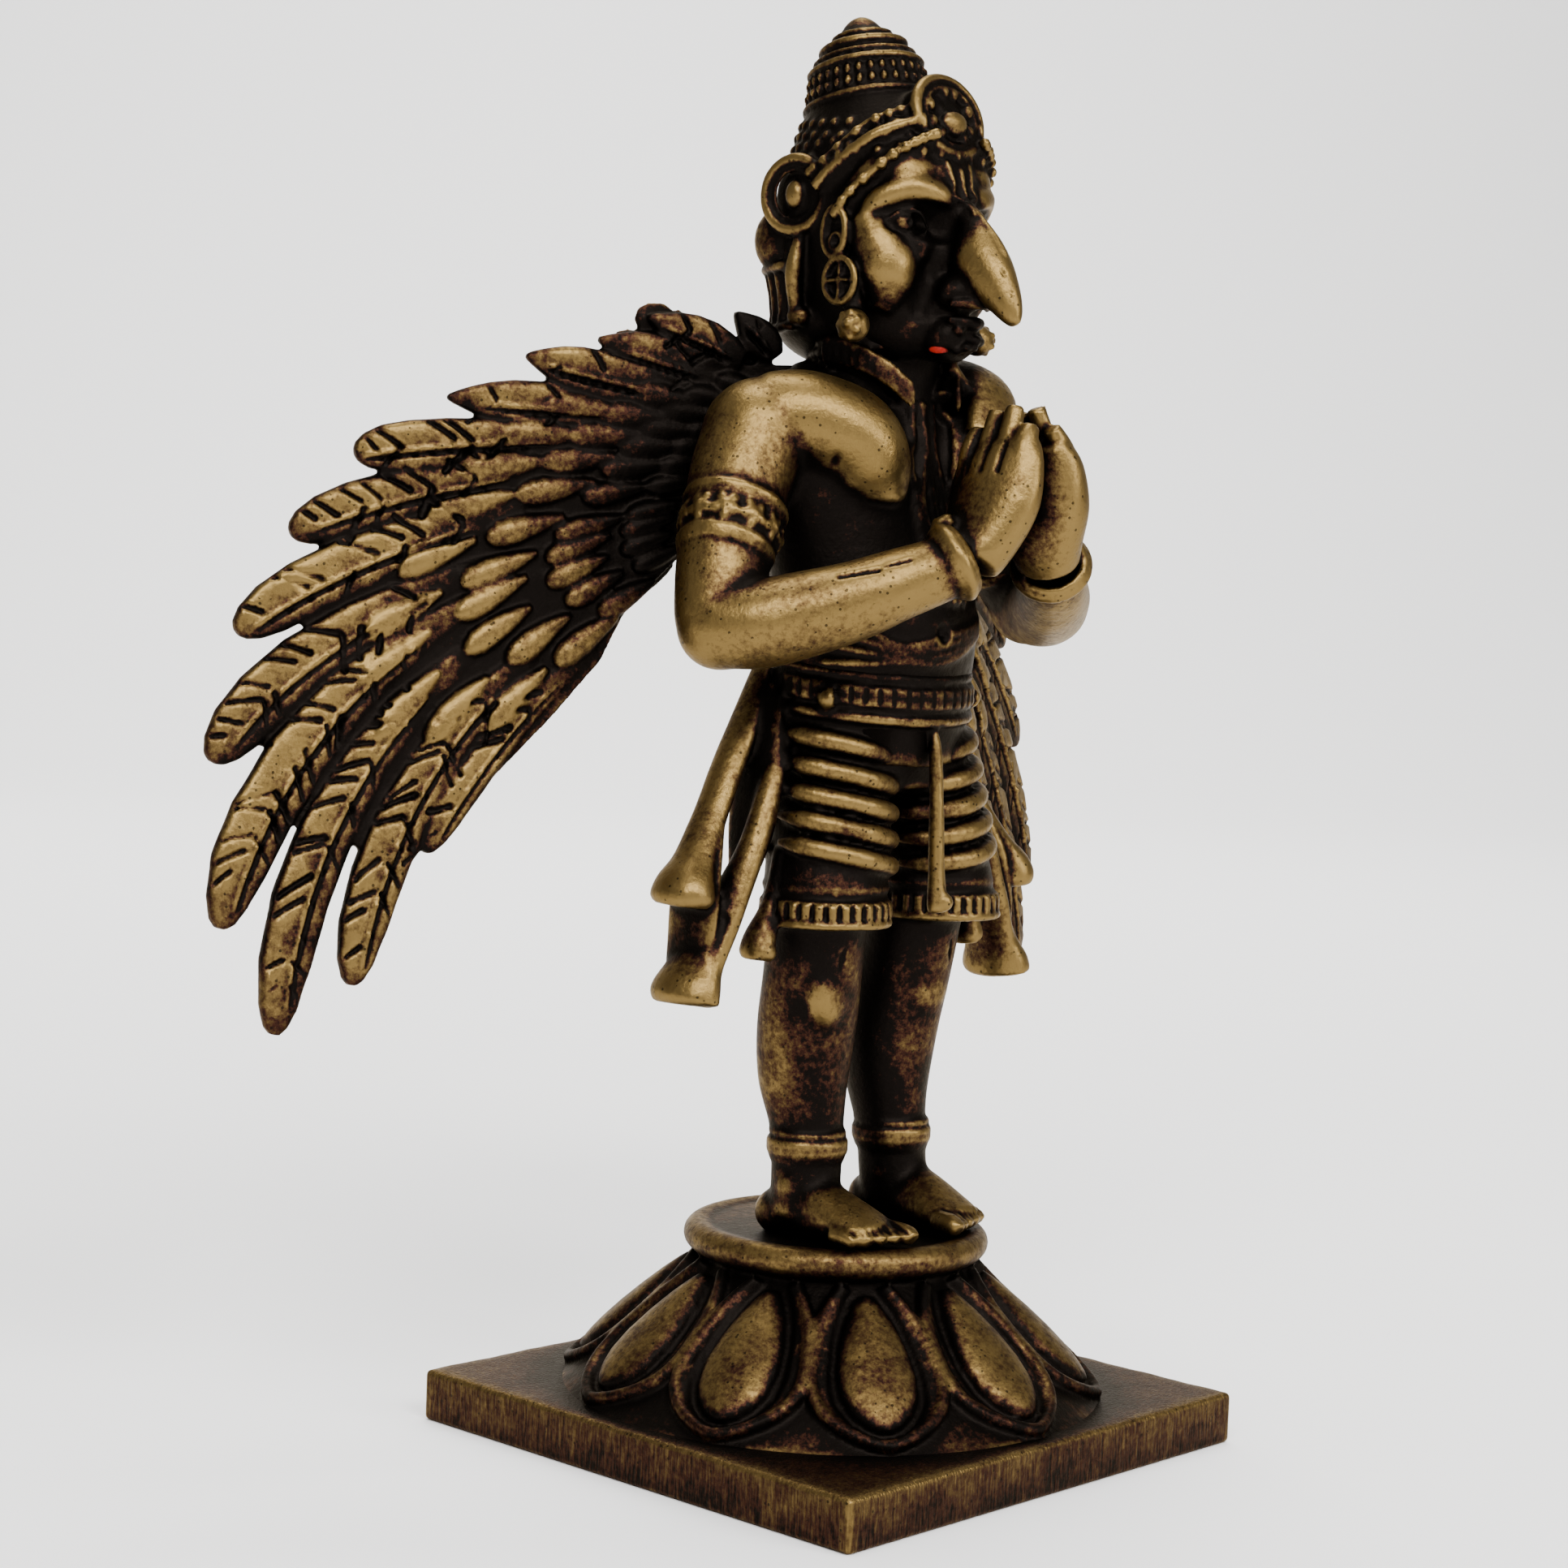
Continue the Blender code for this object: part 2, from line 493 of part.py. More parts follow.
def new_object(name, fill, group):
    """A mesh object filled by one of the shape functions."""
    bm = bmesh.new()
    fill(bm)
    mesh = bpy.data.meshes.new(name)
    bm.to_mesh(mesh)
    bm.free()
    item = bpy.data.objects.new(name, mesh)
    group.objects.link(item)
    return item


def keep_evaluated(item):
    """Turn the object's modifiers into its own mesh."""
    graph = bpy.context.evaluated_depsgraph_get()
    mesh = bpy.data.meshes.new_from_object(item.evaluated_get(graph))
    item.modifiers.clear()
    item.data = mesh


def cast_skin(item, grain, triangles):
    """Fuse overlapping forms to one skin, soften it and thin its faces."""
    fuse = item.modifiers.new("fuse", "REMESH")
    fuse.mode = "VOXEL"
    fuse.voxel_size = grain
    soften = item.modifiers.new("soften", "SMOOTH")
    soften.factor = 0.5
    soften.iterations = SOFTEN_COUNT
    keep_evaluated(item)
    whole = sum(len(face.vertices) - 2 for face in item.data.polygons)
    thin = item.modifiers.new("thin", "DECIMATE")
    thin.ratio = min(1.0, triangles / whole)
    keep_evaluated(item)


def figure(bm):
    """The standing figure, modelled in hundredths and set on the disc."""
    torso(bm)
    head(bm)
    beak(bm)
    crown(bm)
    ear_drops(bm)
    arms(bm)
    hands(bm)
    legs(bm)
    dhoti(bm)
    scarves(bm)
    shoulder_cloth(bm)
    for side in SIDES:
        wing(bm, side)
    place = Matrix.Translation((0, 0, DISC_TOP)) @ Matrix.Scale(SHARE, 4)
    bmesh.ops.transform(bm, matrix=place, verts=bm.verts)


def brass():
    """Rubbed cast brass with a dark skin in its hollows."""
    material = bpy.data.materials.new("aged_cast_brass")
    material.use_nodes = True
    shader = material.node_tree.nodes["Principled BSDF"]
    shader.inputs["Base Color"].default_value = (0.36, 0.25, 0.11, 1.0)
    shader.inputs["Metallic"].default_value = 1.0
    shader.inputs["Roughness"].default_value = 0.42
    return material


def unite(item, other):
    """Join another closed body to this one, and drop it."""
    join = item.modifiers.new("join", "BOOLEAN")
    join.operation = "UNION"
    join.solver = "EXACT"
    join.object = other
    keep_evaluated(item)
    bpy.data.objects.remove(other, do_unlink=True)


def main():
    """Model the statue."""
    clear_scene()
    group = bpy.data.collections.new("brass_garuda_statue")
    bpy.context.scene.collection.children.link(group)
    statue = new_object("garuda_statue", figure, group)
    cast_skin(statue, FIGURE_GRAIN, FIGURE_TRIANGLES)
    base = new_object("lotus", lotus, group)
    cast_skin(base, LOTUS_GRAIN, LOTUS_TRIANGLES)
    unite(statue, base)
    unite(statue, new_object("plate", plate, group))
    statue.data.materials.clear()
    statue.data.materials.append(brass())


main()
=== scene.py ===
"""The looks of a small cast brass garuda on its lotus and plate.

The form is built in hundredths of the figure's height, fused to one cast skin a
piece, carved, and then aged: each point learns how open it lies and how proud it
stands, and the rubbed brass and the dark patina follow from that. How closed in a
point lies also darkens its colour as painted shade. Painted shade is also laid between
the legs, and in part on the plate's sides."""

from math import copysign, cos, pi, radians, sin

import bmesh
import bpy
import numpy as np
from bpy.props import FloatProperty, FloatVectorProperty, IntProperty, PointerProperty
from bpy.types import Operator, Panel, PropertyGroup
from mathutils import Matrix, Vector
from mathutils.bvhtree import BVHTree
from mathutils.kdtree import KDTree


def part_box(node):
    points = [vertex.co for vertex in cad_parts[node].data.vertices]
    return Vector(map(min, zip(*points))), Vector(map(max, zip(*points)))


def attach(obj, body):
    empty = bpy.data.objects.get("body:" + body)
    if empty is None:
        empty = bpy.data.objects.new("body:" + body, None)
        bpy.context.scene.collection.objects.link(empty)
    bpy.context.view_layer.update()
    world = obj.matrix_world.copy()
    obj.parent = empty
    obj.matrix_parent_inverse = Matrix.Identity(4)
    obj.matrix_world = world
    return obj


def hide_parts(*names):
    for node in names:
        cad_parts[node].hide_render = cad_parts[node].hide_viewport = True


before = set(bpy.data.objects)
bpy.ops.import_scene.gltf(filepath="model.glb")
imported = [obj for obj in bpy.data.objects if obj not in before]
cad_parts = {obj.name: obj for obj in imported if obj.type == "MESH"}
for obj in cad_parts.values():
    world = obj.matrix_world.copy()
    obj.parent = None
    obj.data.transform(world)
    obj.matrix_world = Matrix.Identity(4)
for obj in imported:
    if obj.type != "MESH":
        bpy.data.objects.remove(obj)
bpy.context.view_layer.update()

bl_info = {
    "name": "Brass garuda looks",
    "version": (1, 0, 0),
    "blender": (4, 5, 0),
    "location": "View3D > Sidebar > Garuda",
    "description": "Builds the cast brass surface of a small garuda statue",
    "category": "Object",
}

NODE = "garuda_statue"
LOW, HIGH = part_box(NODE)
PLATE_SIDE = HIGH[1] - LOW[1]
SIDES = (-1, 1)
X_AXIS = Vector((1, 0, 0))
Y_AXIS = Vector((0, 1, 0))
Z_AXIS = Vector((0, 0, 1))
RANDOM = np.random.default_rng(7)
CORD_END = 0.35
TRIANGLES = {"upper_body": 175000, "lower_body": 175000, "head_and_crown": 190000,
             "right_wing": 150000, "left_wing": 150000, "lotus_pedestal": 130000}


def linear(code):
    """A linear colour from an sRGB hex value."""
    tones = [int(code[place:place + 2], 16) / 255 for place in (1, 3, 5)]
    return tuple(tone / 12.92 if tone <= 0.04045 else ((tone + 0.055) / 1.055) ** 2.4
                 for tone in tones)


def length_setting(name, description, default, least):
    """A length setting, in metres."""
    return FloatProperty(name=name, description=description, default=default, min=least,
                         unit="LENGTH", subtype="DISTANCE")


def grain_setting(name, description, default):
    """The fineness of a cast skin, in hundredths of the figure's height."""
    return FloatProperty(name=name, description=description, default=default, min=0.1)


def colour_setting(name, description, code):
    """A colour setting that starts from an sRGB hex value."""
    return FloatVectorProperty(name=name, description=description, default=linear(code),
                               size=3, subtype="COLOR", min=0, max=1)


class GarudaSizes(PropertyGroup):
    """The sizes of the cast work."""

    figure_height: length_setting(
        "Figure height", "From the soles to the tip of the crown", 0.100, 0.02)
    plate_side: length_setting(
        "Plate side", "Length of each side of the square plate", PLATE_SIDE, 0.01)
    plate_thickness: length_setting(
        "Plate thickness", "Height of the square plate", 0.0043, 0.001)
    plate_edge: length_setting(
        "Plate edge", "Rounding of the plate's worn edges", 0.00045, 0.0001)
    lotus_height: length_setting(
        "Lotus height", "From the plate to the underside of the disc", 0.0112, 0.002)
    lotus_foot: length_setting(
        "Lotus foot radius", "Radius where the lotus meets the plate", 0.0225, 0.005)
    lotus_neck: length_setting(
        "Lotus neck radius", "Radius under the disc", 0.0110, 0.003)
    disc_radius: length_setting(
        "Disc radius", "Radius of the disc that the feet stand on", 0.0128, 0.004)
    disc_thickness: length_setting(
        "Disc thickness", "Height of the disc's rounded rim", 0.0025, 0.0005)
    petals: IntProperty(
        name="Petals", description="Petals round the lotus", default=10, min=3)
    body_grain: grain_setting("Body grain", "Fineness of the cast skin, in hundredths", 0.25)
    head_grain: grain_setting("Head grain", "Fineness of the head's skin, in hundredths", 0.18)
    wing_grain: grain_setting("Wing grain", "Fineness of the wings' skin, in hundredths", 0.20)
    lotus_grain: grain_setting("Lotus grain", "Fineness of the lotus's skin, in hundredths", 0.25)


class GarudaColours(PropertyGroup):
    """The colours of the aged brass."""

    bright: colour_setting("Rubbed brass", "High places polished by hands", "#6F5A33")
    dull: colour_setting("Dull brass", "Brass that is only half rubbed", "#44331E")
    umber: colour_setting("Umber", "Red brown where the patina thins out", "#321D16")
    patina: colour_setting("Patina", "Near black skin in the hollows", "#110E0C")
    pigment: colour_setting("Pigment", "Trace of red powder left in a hollow", "#A01A14")
    floor: colour_setting("Floor", "Pale studio floor", "#FBFAF9")


def sizes():
    """The scene's sizes."""
    return bpy.context.scene.garuda_sizes


def colours():
    """The scene's colours."""
    return bpy.context.scene.garuda_colours


def figure_place():
    """The height of the figure's soles and the length of one hundredth, in metres."""
    size = sizes()
    return (size.plate_thickness + size.lotus_height + size.disc_thickness,
            size.figure_height / 100)


# Shape helpers, in hundredths of the figure's height

def smooth_path(points, steps):
    """Points of a soft curve through the given rows of numbers."""
    rows = [Vector(point) for point in points]
    path = []
    for index in range(len(rows) - 1):
        before = rows[max(index - 1, 0)]
        start = rows[index]
        end = rows[index + 1]
        after = rows[min(index + 2, len(rows) - 1)]
        for step in range(steps):
            part = step / steps
            lead_in = (end - before) * 0.5
            lead_out = (after - start) * 0.5
            square = part * part
            cube = square * part
            path.append(start * (2 * cube - 3 * square + 1)
                        + lead_in * (cube - 2 * square + part)
                        + end * (3 * square - 2 * cube)
                        + lead_out * (cube - square))
    path.append(rows[-1])
    return path


def section_frame(centre, along, wide, half_wide, half_deep):
    """The placing of one oval section: its wide axis, its deep axis and its run."""
    run = along.normalized()
    deep = run.cross(wide)
    if deep.length < 0.05:
        deep = run.orthogonal()
    deep.normalize()
    side = deep.cross(run).normalized()
    place = Matrix.Identity(4)
    for row in range(3):
        place[row][0] = side[row] * half_wide
        place[row][1] = deep[row] * half_deep
        place[row][2] = run[row]
        place[row][3] = centre[row]
    return place


def add_form(bm, form):
    """Put a finished form, which has a small mesh of its own, with the others."""
    mesh = bpy.data.meshes.new("form")
    form.to_mesh(mesh)
    form.free()
    bm.from_mesh(mesh)
    bpy.data.meshes.remove(mesh)


def loft(bm, places, sides, square=1.0):
    """A closed limb: one ring carried by extrusion from section to section."""
    form = bmesh.new()
    first = bmesh.ops.create_circle(form, cap_ends=True, segments=sides, radius=1.0)
    for vert in first["verts"]:
        for axis in (0, 1):
            vert.co[axis] = copysign(abs(vert.co[axis]) ** square, vert.co[axis])
    bmesh.ops.transform(form, matrix=places[0], verts=first["verts"])
    ring = list({edge for vert in first["verts"] for edge in vert.link_edges})
    for here, there in zip(places, places[1:]):
        grown = bmesh.ops.extrude_edge_only(form, edges=ring)["geom"]
        verts = [item for item in grown if isinstance(item, bmesh.types.BMVert)]
        fresh = set(verts)
        ring = [item for item in grown if isinstance(item, bmesh.types.BMEdge)
                and item.verts[0] in fresh and item.verts[1] in fresh]
        bmesh.ops.transform(form, matrix=there @ here.inverted(), verts=verts)
    bmesh.ops.edgeloop_fill(form, edges=ring)
    bmesh.ops.recalc_face_normals(form, faces=form.faces)
    add_form(bm, form)


def limb(bm, stations, wide=X_AXIS, steps=5, sides=24, carry=False):
    """A limb through stations of x, y, z, half width and half depth. The wide axis
    is a fixed one, or is carried along from section to section."""
    rows = [station if len(station) == 5 else (*station, station[3])
            for station in stations]
    path = smooth_path([row[:3] for row in rows], steps)
    widths = smooth_path([(row[3], row[4], 0.0) for row in rows], steps)
    places = []
    for index, centre in enumerate(path):
        ahead = path[min(index + 1, len(path) - 1)]
        behind = path[max(index - 1, 0)]
        size = widths[index]
        if (ahead - behind).length < 1e-6:
            continue
        places.append(section_frame(centre, ahead - behind, wide, size[0], size[1]))
        if carry:
            wide = places[-1].col[0].to_3d().normalized()
    loft(bm, places, sides)


def cord(bm, points, thick, wide=Z_AXIS):
    """A round cord through points."""
    limb(bm, [(*point, thick) for point in points], wide=wide, steps=6, sides=8, carry=True)


def ball(bm, centre, radii, turn=None, segments=20, rings=12):
    """A rounded mass with its own radius along each axis."""
    place = Matrix.Translation(centre) @ (turn or Matrix.Identity(4))
    form = bmesh.new()
    bmesh.ops.create_uvsphere(form, u_segments=segments, v_segments=rings, radius=1.0,
                              matrix=place @ Matrix.Diagonal((*radii, 1.0)))
    add_form(bm, form)


def bead(bm, centre, radii, turn=None):
    """A small rounded mass with few faces."""
    ball(bm, centre, radii, turn, segments=8, rings=6)


def pearl(bm, centre, radius):
    """A small round bead."""
    bead(bm, centre, (radius, radius, radius))


def hoop(bm, centre, radii, thick, turn=None, steps=48, rise=None):
    """A round ring lying flat before it is turned, lifted by the rise at each angle."""
    place = Matrix.Translation(centre) @ (turn or Matrix.Identity(4))
    places = []
    for step in range(steps + 1):
        angle = 2 * pi * step / steps
        lift = rise(angle) if rise else 0.0
        spot = Vector((cos(angle) * radii[0], sin(angle) * radii[1], lift))
        run = Vector((-sin(angle) * radii[0], cos(angle) * radii[1], 0))
        places.append(place @ section_frame(spot, run, Z_AXIS, thick, thick))
    loft(bm, places, 10)


def turned_to(direction):
    """The turn that points a flat form's axis along a direction."""
    return Vector(direction).to_track_quat("Z", "Y").to_matrix().to_4x4()


def hug(tree, spot, lift):
    """The nearest place on the skin that lies under a spot, raised a little."""
    place, facing = tree.find_nearest(Vector(spot))[:2]
    return place + facing * lift


def hugging_cord(bm, tree, points, thick, lift=0.0, steps=6):
    """A cord on the skin along a soft curve through points, thinner at both ends."""
    path = [hug(tree, spot, lift) for spot in smooth_path(points, steps)]
    rows = [(*spot, thick) for spot in path]
    rows[0] = (*path[0], thick * CORD_END)
    rows[-1] = (*path[-1], thick * CORD_END)
    limb(bm, rows, wide=Z_AXIS, steps=1, sides=10, carry=True)


def angles(count, first=0.0):
    """The angles of places spread evenly round a ring."""
    return [2 * pi * index / count + first for index in range(count)]


def mirrored(row, side):
    """A row of numbers on the figure's left, moved to the asked side."""
    return (row[0] * side, *row[1:])


def both(rows, side):
    """Rows of numbers on the figure's left, moved to the asked side."""
    return [mirrored(row, side) for row in rows]


# Skins, carving and measuring

def keep_evaluated(item):
    """Turn the object's modifiers into its own mesh."""
    graph = bpy.context.evaluated_depsgraph_get()
    mesh = bpy.data.meshes.new_from_object(item.evaluated_get(graph))
    old = item.data
    item.modifiers.clear()
    item.data = mesh
    bpy.data.meshes.remove(old)


def new_piece(name, fill):
    """An object whose mesh one of the shape functions fills."""
    bm = bmesh.new()
    fill(bm)
    mesh = bpy.data.meshes.new(name)
    bm.to_mesh(mesh)
    bm.free()
    item = bpy.data.objects.new(name, mesh)
    bpy.context.scene.collection.objects.link(item)
    return item


def cast_skin(item, grain, soften):
    """Fuse overlapping forms to one closed skin and soften it a little."""
    fuse = item.modifiers.new("fuse", "REMESH")
    fuse.mode = "VOXEL"
    fuse.voxel_size = grain * 1.0
    ease = item.modifiers.new("soften", "SMOOTH")
    ease.factor = 0.5
    ease.iterations = soften
    keep_evaluated(item)


def add_details(item, details):
    """Lay a detail function's small forms on the piece's own skin."""
    bm = bmesh.new()
    bm.from_mesh(item.data)
    tree = BVHTree.FromBMesh(bm)
    details(bm, tree)
    bm.to_mesh(item.data)
    bm.free()


def lighten(item):
    """Bring the skin down to the piece's number of triangles."""
    triangles = TRIANGLES[item.name]
    count = sum(len(face.vertices) - 2 for face in item.data.polygons)
    if count <= triangles:
        return
    thin = item.modifiers.new("lighten", "DECIMATE")
    thin.ratio = triangles / count
    keep_evaluated(item)


def points_of(mesh):
    """The mesh's points as rows of numbers."""
    values = np.empty(len(mesh.vertices) * 3)
    mesh.vertices.foreach_get("co", values)
    return values.reshape(-1, 3)


def facing_of(mesh):
    """The direction that each point of the mesh faces."""
    values = np.empty(len(mesh.vertices) * 3)
    mesh.vertex_normals.foreach_get("vector", values)
    return values.reshape(-1, 3)


def edges_of(mesh):
    """The mesh's edges as pairs of point numbers."""
    values = np.empty(len(mesh.edges) * 2, dtype=np.int64)
    mesh.edges.foreach_get("vertices", values)
    return values.reshape(-1, 2)


def set_points(mesh, places):
    """Move the mesh's points."""
    mesh.vertices.foreach_set("co", places.ravel())
    mesh.update()


def carve(item, strokes):
    """Raise or cut soft strokes: start, end, radius and height along the surface."""
    mesh = item.data
    places = points_of(mesh)
    facing = facing_of(mesh)
    shift = np.zeros(len(places))
    for start, end, radius, height in strokes:
        start = np.array(start, dtype=float)
        end = np.array(end, dtype=float)
        low = np.minimum(start, end) - radius
        high = np.maximum(start, end) + radius
        near = np.nonzero(np.all((places > low) & (places < high), axis=1))[0]
        if not len(near):
            continue
        run = end - start
        length = float(run @ run) or 1.0
        part = np.clip(((places[near] - start) @ run) / length, 0, 1)
        gap = np.linalg.norm(places[near] - (start + part[:, None] * run), axis=1)
        shift[near] += height * np.clip(1 - (gap / radius) ** 2, 0, 1) ** 2
    set_points(mesh, places + facing * shift[:, None])


def dot(place, radius, height):
    """A carving stroke at a single place."""
    return place, place, radius, height


def roughen(item, amount, grain):
    """The faint lumps of a hand-finished wax model, from a few soft waves."""
    mesh = item.data
    places = points_of(mesh)
    facing = facing_of(mesh)
    waves = np.zeros(len(places))
    for _ in range(10):
        direction = RANDOM.normal(size=3)
        direction *= 2 * pi / (grain * RANDOM.uniform(0.7, 1.6)) / np.linalg.norm(direction)
        waves += np.sin(places @ direction + RANDOM.uniform(0, 2 * pi))
    set_points(mesh, places + facing * (waves * amount / 10)[:, None])


def relaxed(values, edges, rounds):
    """Each point's values, evened out with its neighbours' over and over."""
    count = len(values)
    degree = np.bincount(edges.ravel(), minlength=count).astype(float)
    degree[degree == 0] = 1
    columns = values.reshape(count, -1)
    for _ in range(rounds):
        total = np.empty_like(columns)
        for place in range(columns.shape[1]):
            column = columns[:, place]
            total[:, place] = np.bincount(edges[:, 0], weights=column[edges[:, 1]],
                                          minlength=count)
            total[:, place] += np.bincount(edges[:, 1], weights=column[edges[:, 0]],
                                           minlength=count)
        columns = total / degree[:, None]
    return columns.reshape(values.shape)


def settle(item):
    """Bring a finished piece from hundredths to its real place and size."""
    lighten(item)
    rise, share = figure_place()
    item.data.transform(Matrix.Translation((0, 0, rise)) @ Matrix.Scale(share, 4))
    item.data.shade_smooth()
    dress(item)


def dress(item):
    """Hang the piece from the root and hide the imported statue."""
    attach(item, "root")
    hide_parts(NODE)


# Torso, arms and hands

ELBOW_DROP = {-1: 1.1, 1: -1.3}
NECKLACE = [(6.0, -0.4, 71.4), (5.7, -3.2, 71.0), (4.4, -5.6, 69.8), (2.8, -7.2, 68.0)]
FINGERS = ((-13.4, 65.9), (-15.1, 67.4), (-16.9, 67.8), (-18.5, 66.2))


def torso(bm):
    """Belly, chest, shoulders and neck."""
    limb(bm, [(0, -1.2, 39.0, 9.0, 6.8), (0, -1.5, 45.0, 9.5, 7.0),
              (0, -1.7, 50.0, 9.6, 7.5), (0, -1.0, 55.0, 10.0, 7.1),
              (0, -0.2, 60.0, 11.0, 6.8), (0, 0.4, 64.5, 12.4, 6.7),
              (0, 0.9, 68.0, 10.8, 5.6), (0, 0.4, 70.8, 6.4, 4.8)], sides=40)
    limb(bm, [(0, -0.4, 67.0, 5.6, 5.2), (0, -1.2, 76.0, 5.0, 5.2)])
    for side in SIDES:
        limb(bm, both([(12.0, 0.6, 66.6, 3.4), (9.4, -1.9, 66.4, 3.9),
                       (6.4, -4.3, 64.9, 3.9), (4.9, -5.4, 62.0, 3.2),
                       (4.7, -5.2, 60.4, 2.2)], side), wide=Z_AXIS, sides=28)


def arms(bm):
    """Upper arms hanging, forearms brought forward and up to the joined palms."""
    for side in SIDES:
        drop = ELBOW_DROP[side]
        ball(bm, (12.0 * side, 0.8, 65.0), (4.7, 4.6, 4.6))
        upper = [(11.6, 0.9, 65.8, 4.5), (14.3, 0.4, 61.5, 4.15), (16.8, -0.7, 56.8, 3.8),
                 (18.6, -1.9, 52.8 - drop, 3.6), (19.2, -2.4, 50.9 - drop, 3.4)]
        lower = [(19.2, -2.5, 50.9 - drop, 3.4), (17.2, -5.8, 51.0 - drop * 0.8, 3.5),
                 (12.8, -10.0, 52.3 - drop * 0.4, 3.2), (8.6, -13.4, 54.0, 2.75),
                 (5.6, -15.4, 55.4, 2.5)]
        limb(bm, both(upper, side), wide=Y_AXIS, steps=6, sides=32)
        limb(bm, both(lower, side), wide=Z_AXIS, steps=6, sides=32)
        ball(bm, (19.0 * side, -2.5, 50.8 - drop), (3.5, 3.5, 3.5))


def palms(bm):
    """The swelling backs of the two joined hands, and their thumbs."""
    for side in SIDES:
        swell = 0.5 if side > 0 else 0.0
        palm = [(5.0, -15.8, 55.4, 2.5, 2.4), (3.7, -16.2, 57.6, 3.4, 2.4 + swell),
                (2.7 + swell, -16.4, 60.4, 4.1, 2.3 + swell),
                (2.1 + swell, -16.4, 63.2, 3.9, 1.9 + swell), (1.6, -16.2, 65.0, 3.2, 1.3)]
        limb(bm, both(palm, side), wide=Y_AXIS)
        thumb = [(2.8, -12.9, 58.0, 1.3), (1.9, -12.3, 61.0, 1.15), (1.1, -12.2, 64.0, 0.85)]
        limb(bm, both(thumb, side), wide=Y_AXIS, sides=14)


def fingers(bm):
    """Four short fingers over each palm."""
    for side in SIDES:
        swell = 0.4 if side > 0 else 0.0
        for lie, tip in FINGERS:
            finger = [(2.9 + swell, lie * 0.985, 61.4, 0.9), (2.3 + swell, lie, 64.2, 1.04),
                      (1.3, lie + 0.15, tip, 0.74)]
            limb(bm, both(finger, side), wide=Y_AXIS, sides=14)


ARM_RADIUS = 3.85


def armlet(bm, side):
    """Two bands with a row of small flowers between them, above the elbow."""
    axis = Vector((2.5 * side, -1.1, -4.7)).normalized()
    turn = turned_to(axis)
    middle = Vector((16.5 * side, -0.7, 57.2))
    limb(bm, [(*(middle + axis * along), ARM_RADIUS + 0.02) for along in (-2.0, 0.0, 2.2)],
         wide=Y_AXIS, sides=32)
    for along, thick in ((-2.1, 0.34), (-1.45, 0.18), (1.75, 0.34), (2.35, 0.18)):
        radius = ARM_RADIUS - 0.07 * along
        hoop(bm, middle + axis * along, (radius, radius), thick, turn)
    for angle in angles(11, 0.2):
        out = turn.to_3x3() @ Vector((cos(angle), sin(angle), 0)) * (ARM_RADIUS + 0.02)
        past = turn.to_3x3() @ Vector((-sin(angle), cos(angle), 0))
        pearl(bm, middle + out * 1.03, 0.5)
        for around in angles(5):
            rim = out + axis * cos(around) * 0.80 + past * sin(around) * 0.80
            pearl(bm, middle + rim, 0.42)


def bracelet(bm, side):
    """A heavy ring at the wrist with a flower knob on its upper side."""
    axis = Vector((-0.72 * side, -0.50, 0.48)).normalized()
    centre = Vector((6.1 * side, -15.1, 55.4))
    for along, radius, thick in ((0.0, 2.8, 0.60), (-0.7, 2.7, 0.30), (0.7, 2.7, 0.30)):
        hoop(bm, centre + axis * along, (radius, radius), thick, turned_to(axis))
    knob = centre + Vector((0, 0.9, 3.1))
    pearl(bm, knob, 0.75)
    for angle in angles(6):
        spot = knob + Vector((cos(angle) * 0.8, sin(angle) * 0.8, -0.1))
        pearl(bm, spot, 0.45)


def necklace(bm, tree):
    """A band of upright bars, two neck rings over it and a round drop in front."""
    for side in SIDES:
        rows = [(x, y, z + 1.5) for x, y, z in both(NECKLACE, side)]
        limb(bm, [(x * 0.84, y + 1.1, z - 0.8, 0.75, 0.75) for x, y, z in rows],
             wide=Z_AXIS, sides=16)
        cord(bm, rows, 0.28)
        cord(bm, [(x * 1.01, y - 0.1, z - 1.7) for x, y, z in rows], 0.24)
        for x, y, z in smooth_path(rows, 4):
            limb(bm, [(x, y, z, 0.22), (x * 1.01, y - 0.1, z - 0.8, 0.30),
                      (x * 1.01, y - 0.1, z - 1.6, 0.24)], sides=8, steps=2)
    centre = hug(tree, (0.0, -10.0, 62.6), 0.1)
    facing = Matrix.Rotation(radians(82), 4, "X")
    hoop(bm, centre, (1.15, 1.15), 0.38, facing, steps=20)
    ball(bm, centre, (0.6, 0.5, 0.6), segments=10, rings=6)
    for height in (72.2, 73.1):
        hoop(bm, (0, -0.8, height), (5.55, 5.45), 0.32, Matrix.Rotation(-0.08, 4, "X"))


def breast_cloth(bm, tree):
    """The crumpled cloth and cords down the middle of the chest."""
    for index in range(7):
        out = -1.6 + 0.95 * index
        sway = 0.5 * sin(1.7 * index)
        hugging_cord(bm, tree, [(out + 0.6, -6.4, 68.4), (out + sway, -7.6, 65.0),
                                (out - sway, -7.8, 60.0), (out * 0.8 + sway, -8.5, 55.4),
                                (out * 0.7 - sway, -9.6, 52.0)], 0.42 + 0.1 * (index % 2))
    for index in range(4):
        height = 47.0 + 0.5 * index
        hugging_cord(bm, tree, [(-9.5, -4.0, height + 1.2 * index), (-5.0, -9.5, height),
                                (0.5, -10.6, height + 0.3 * index), (6.0, -9.0, height + 2.0),
                                (9.8, -3.0, height + 3.4)], 0.30)


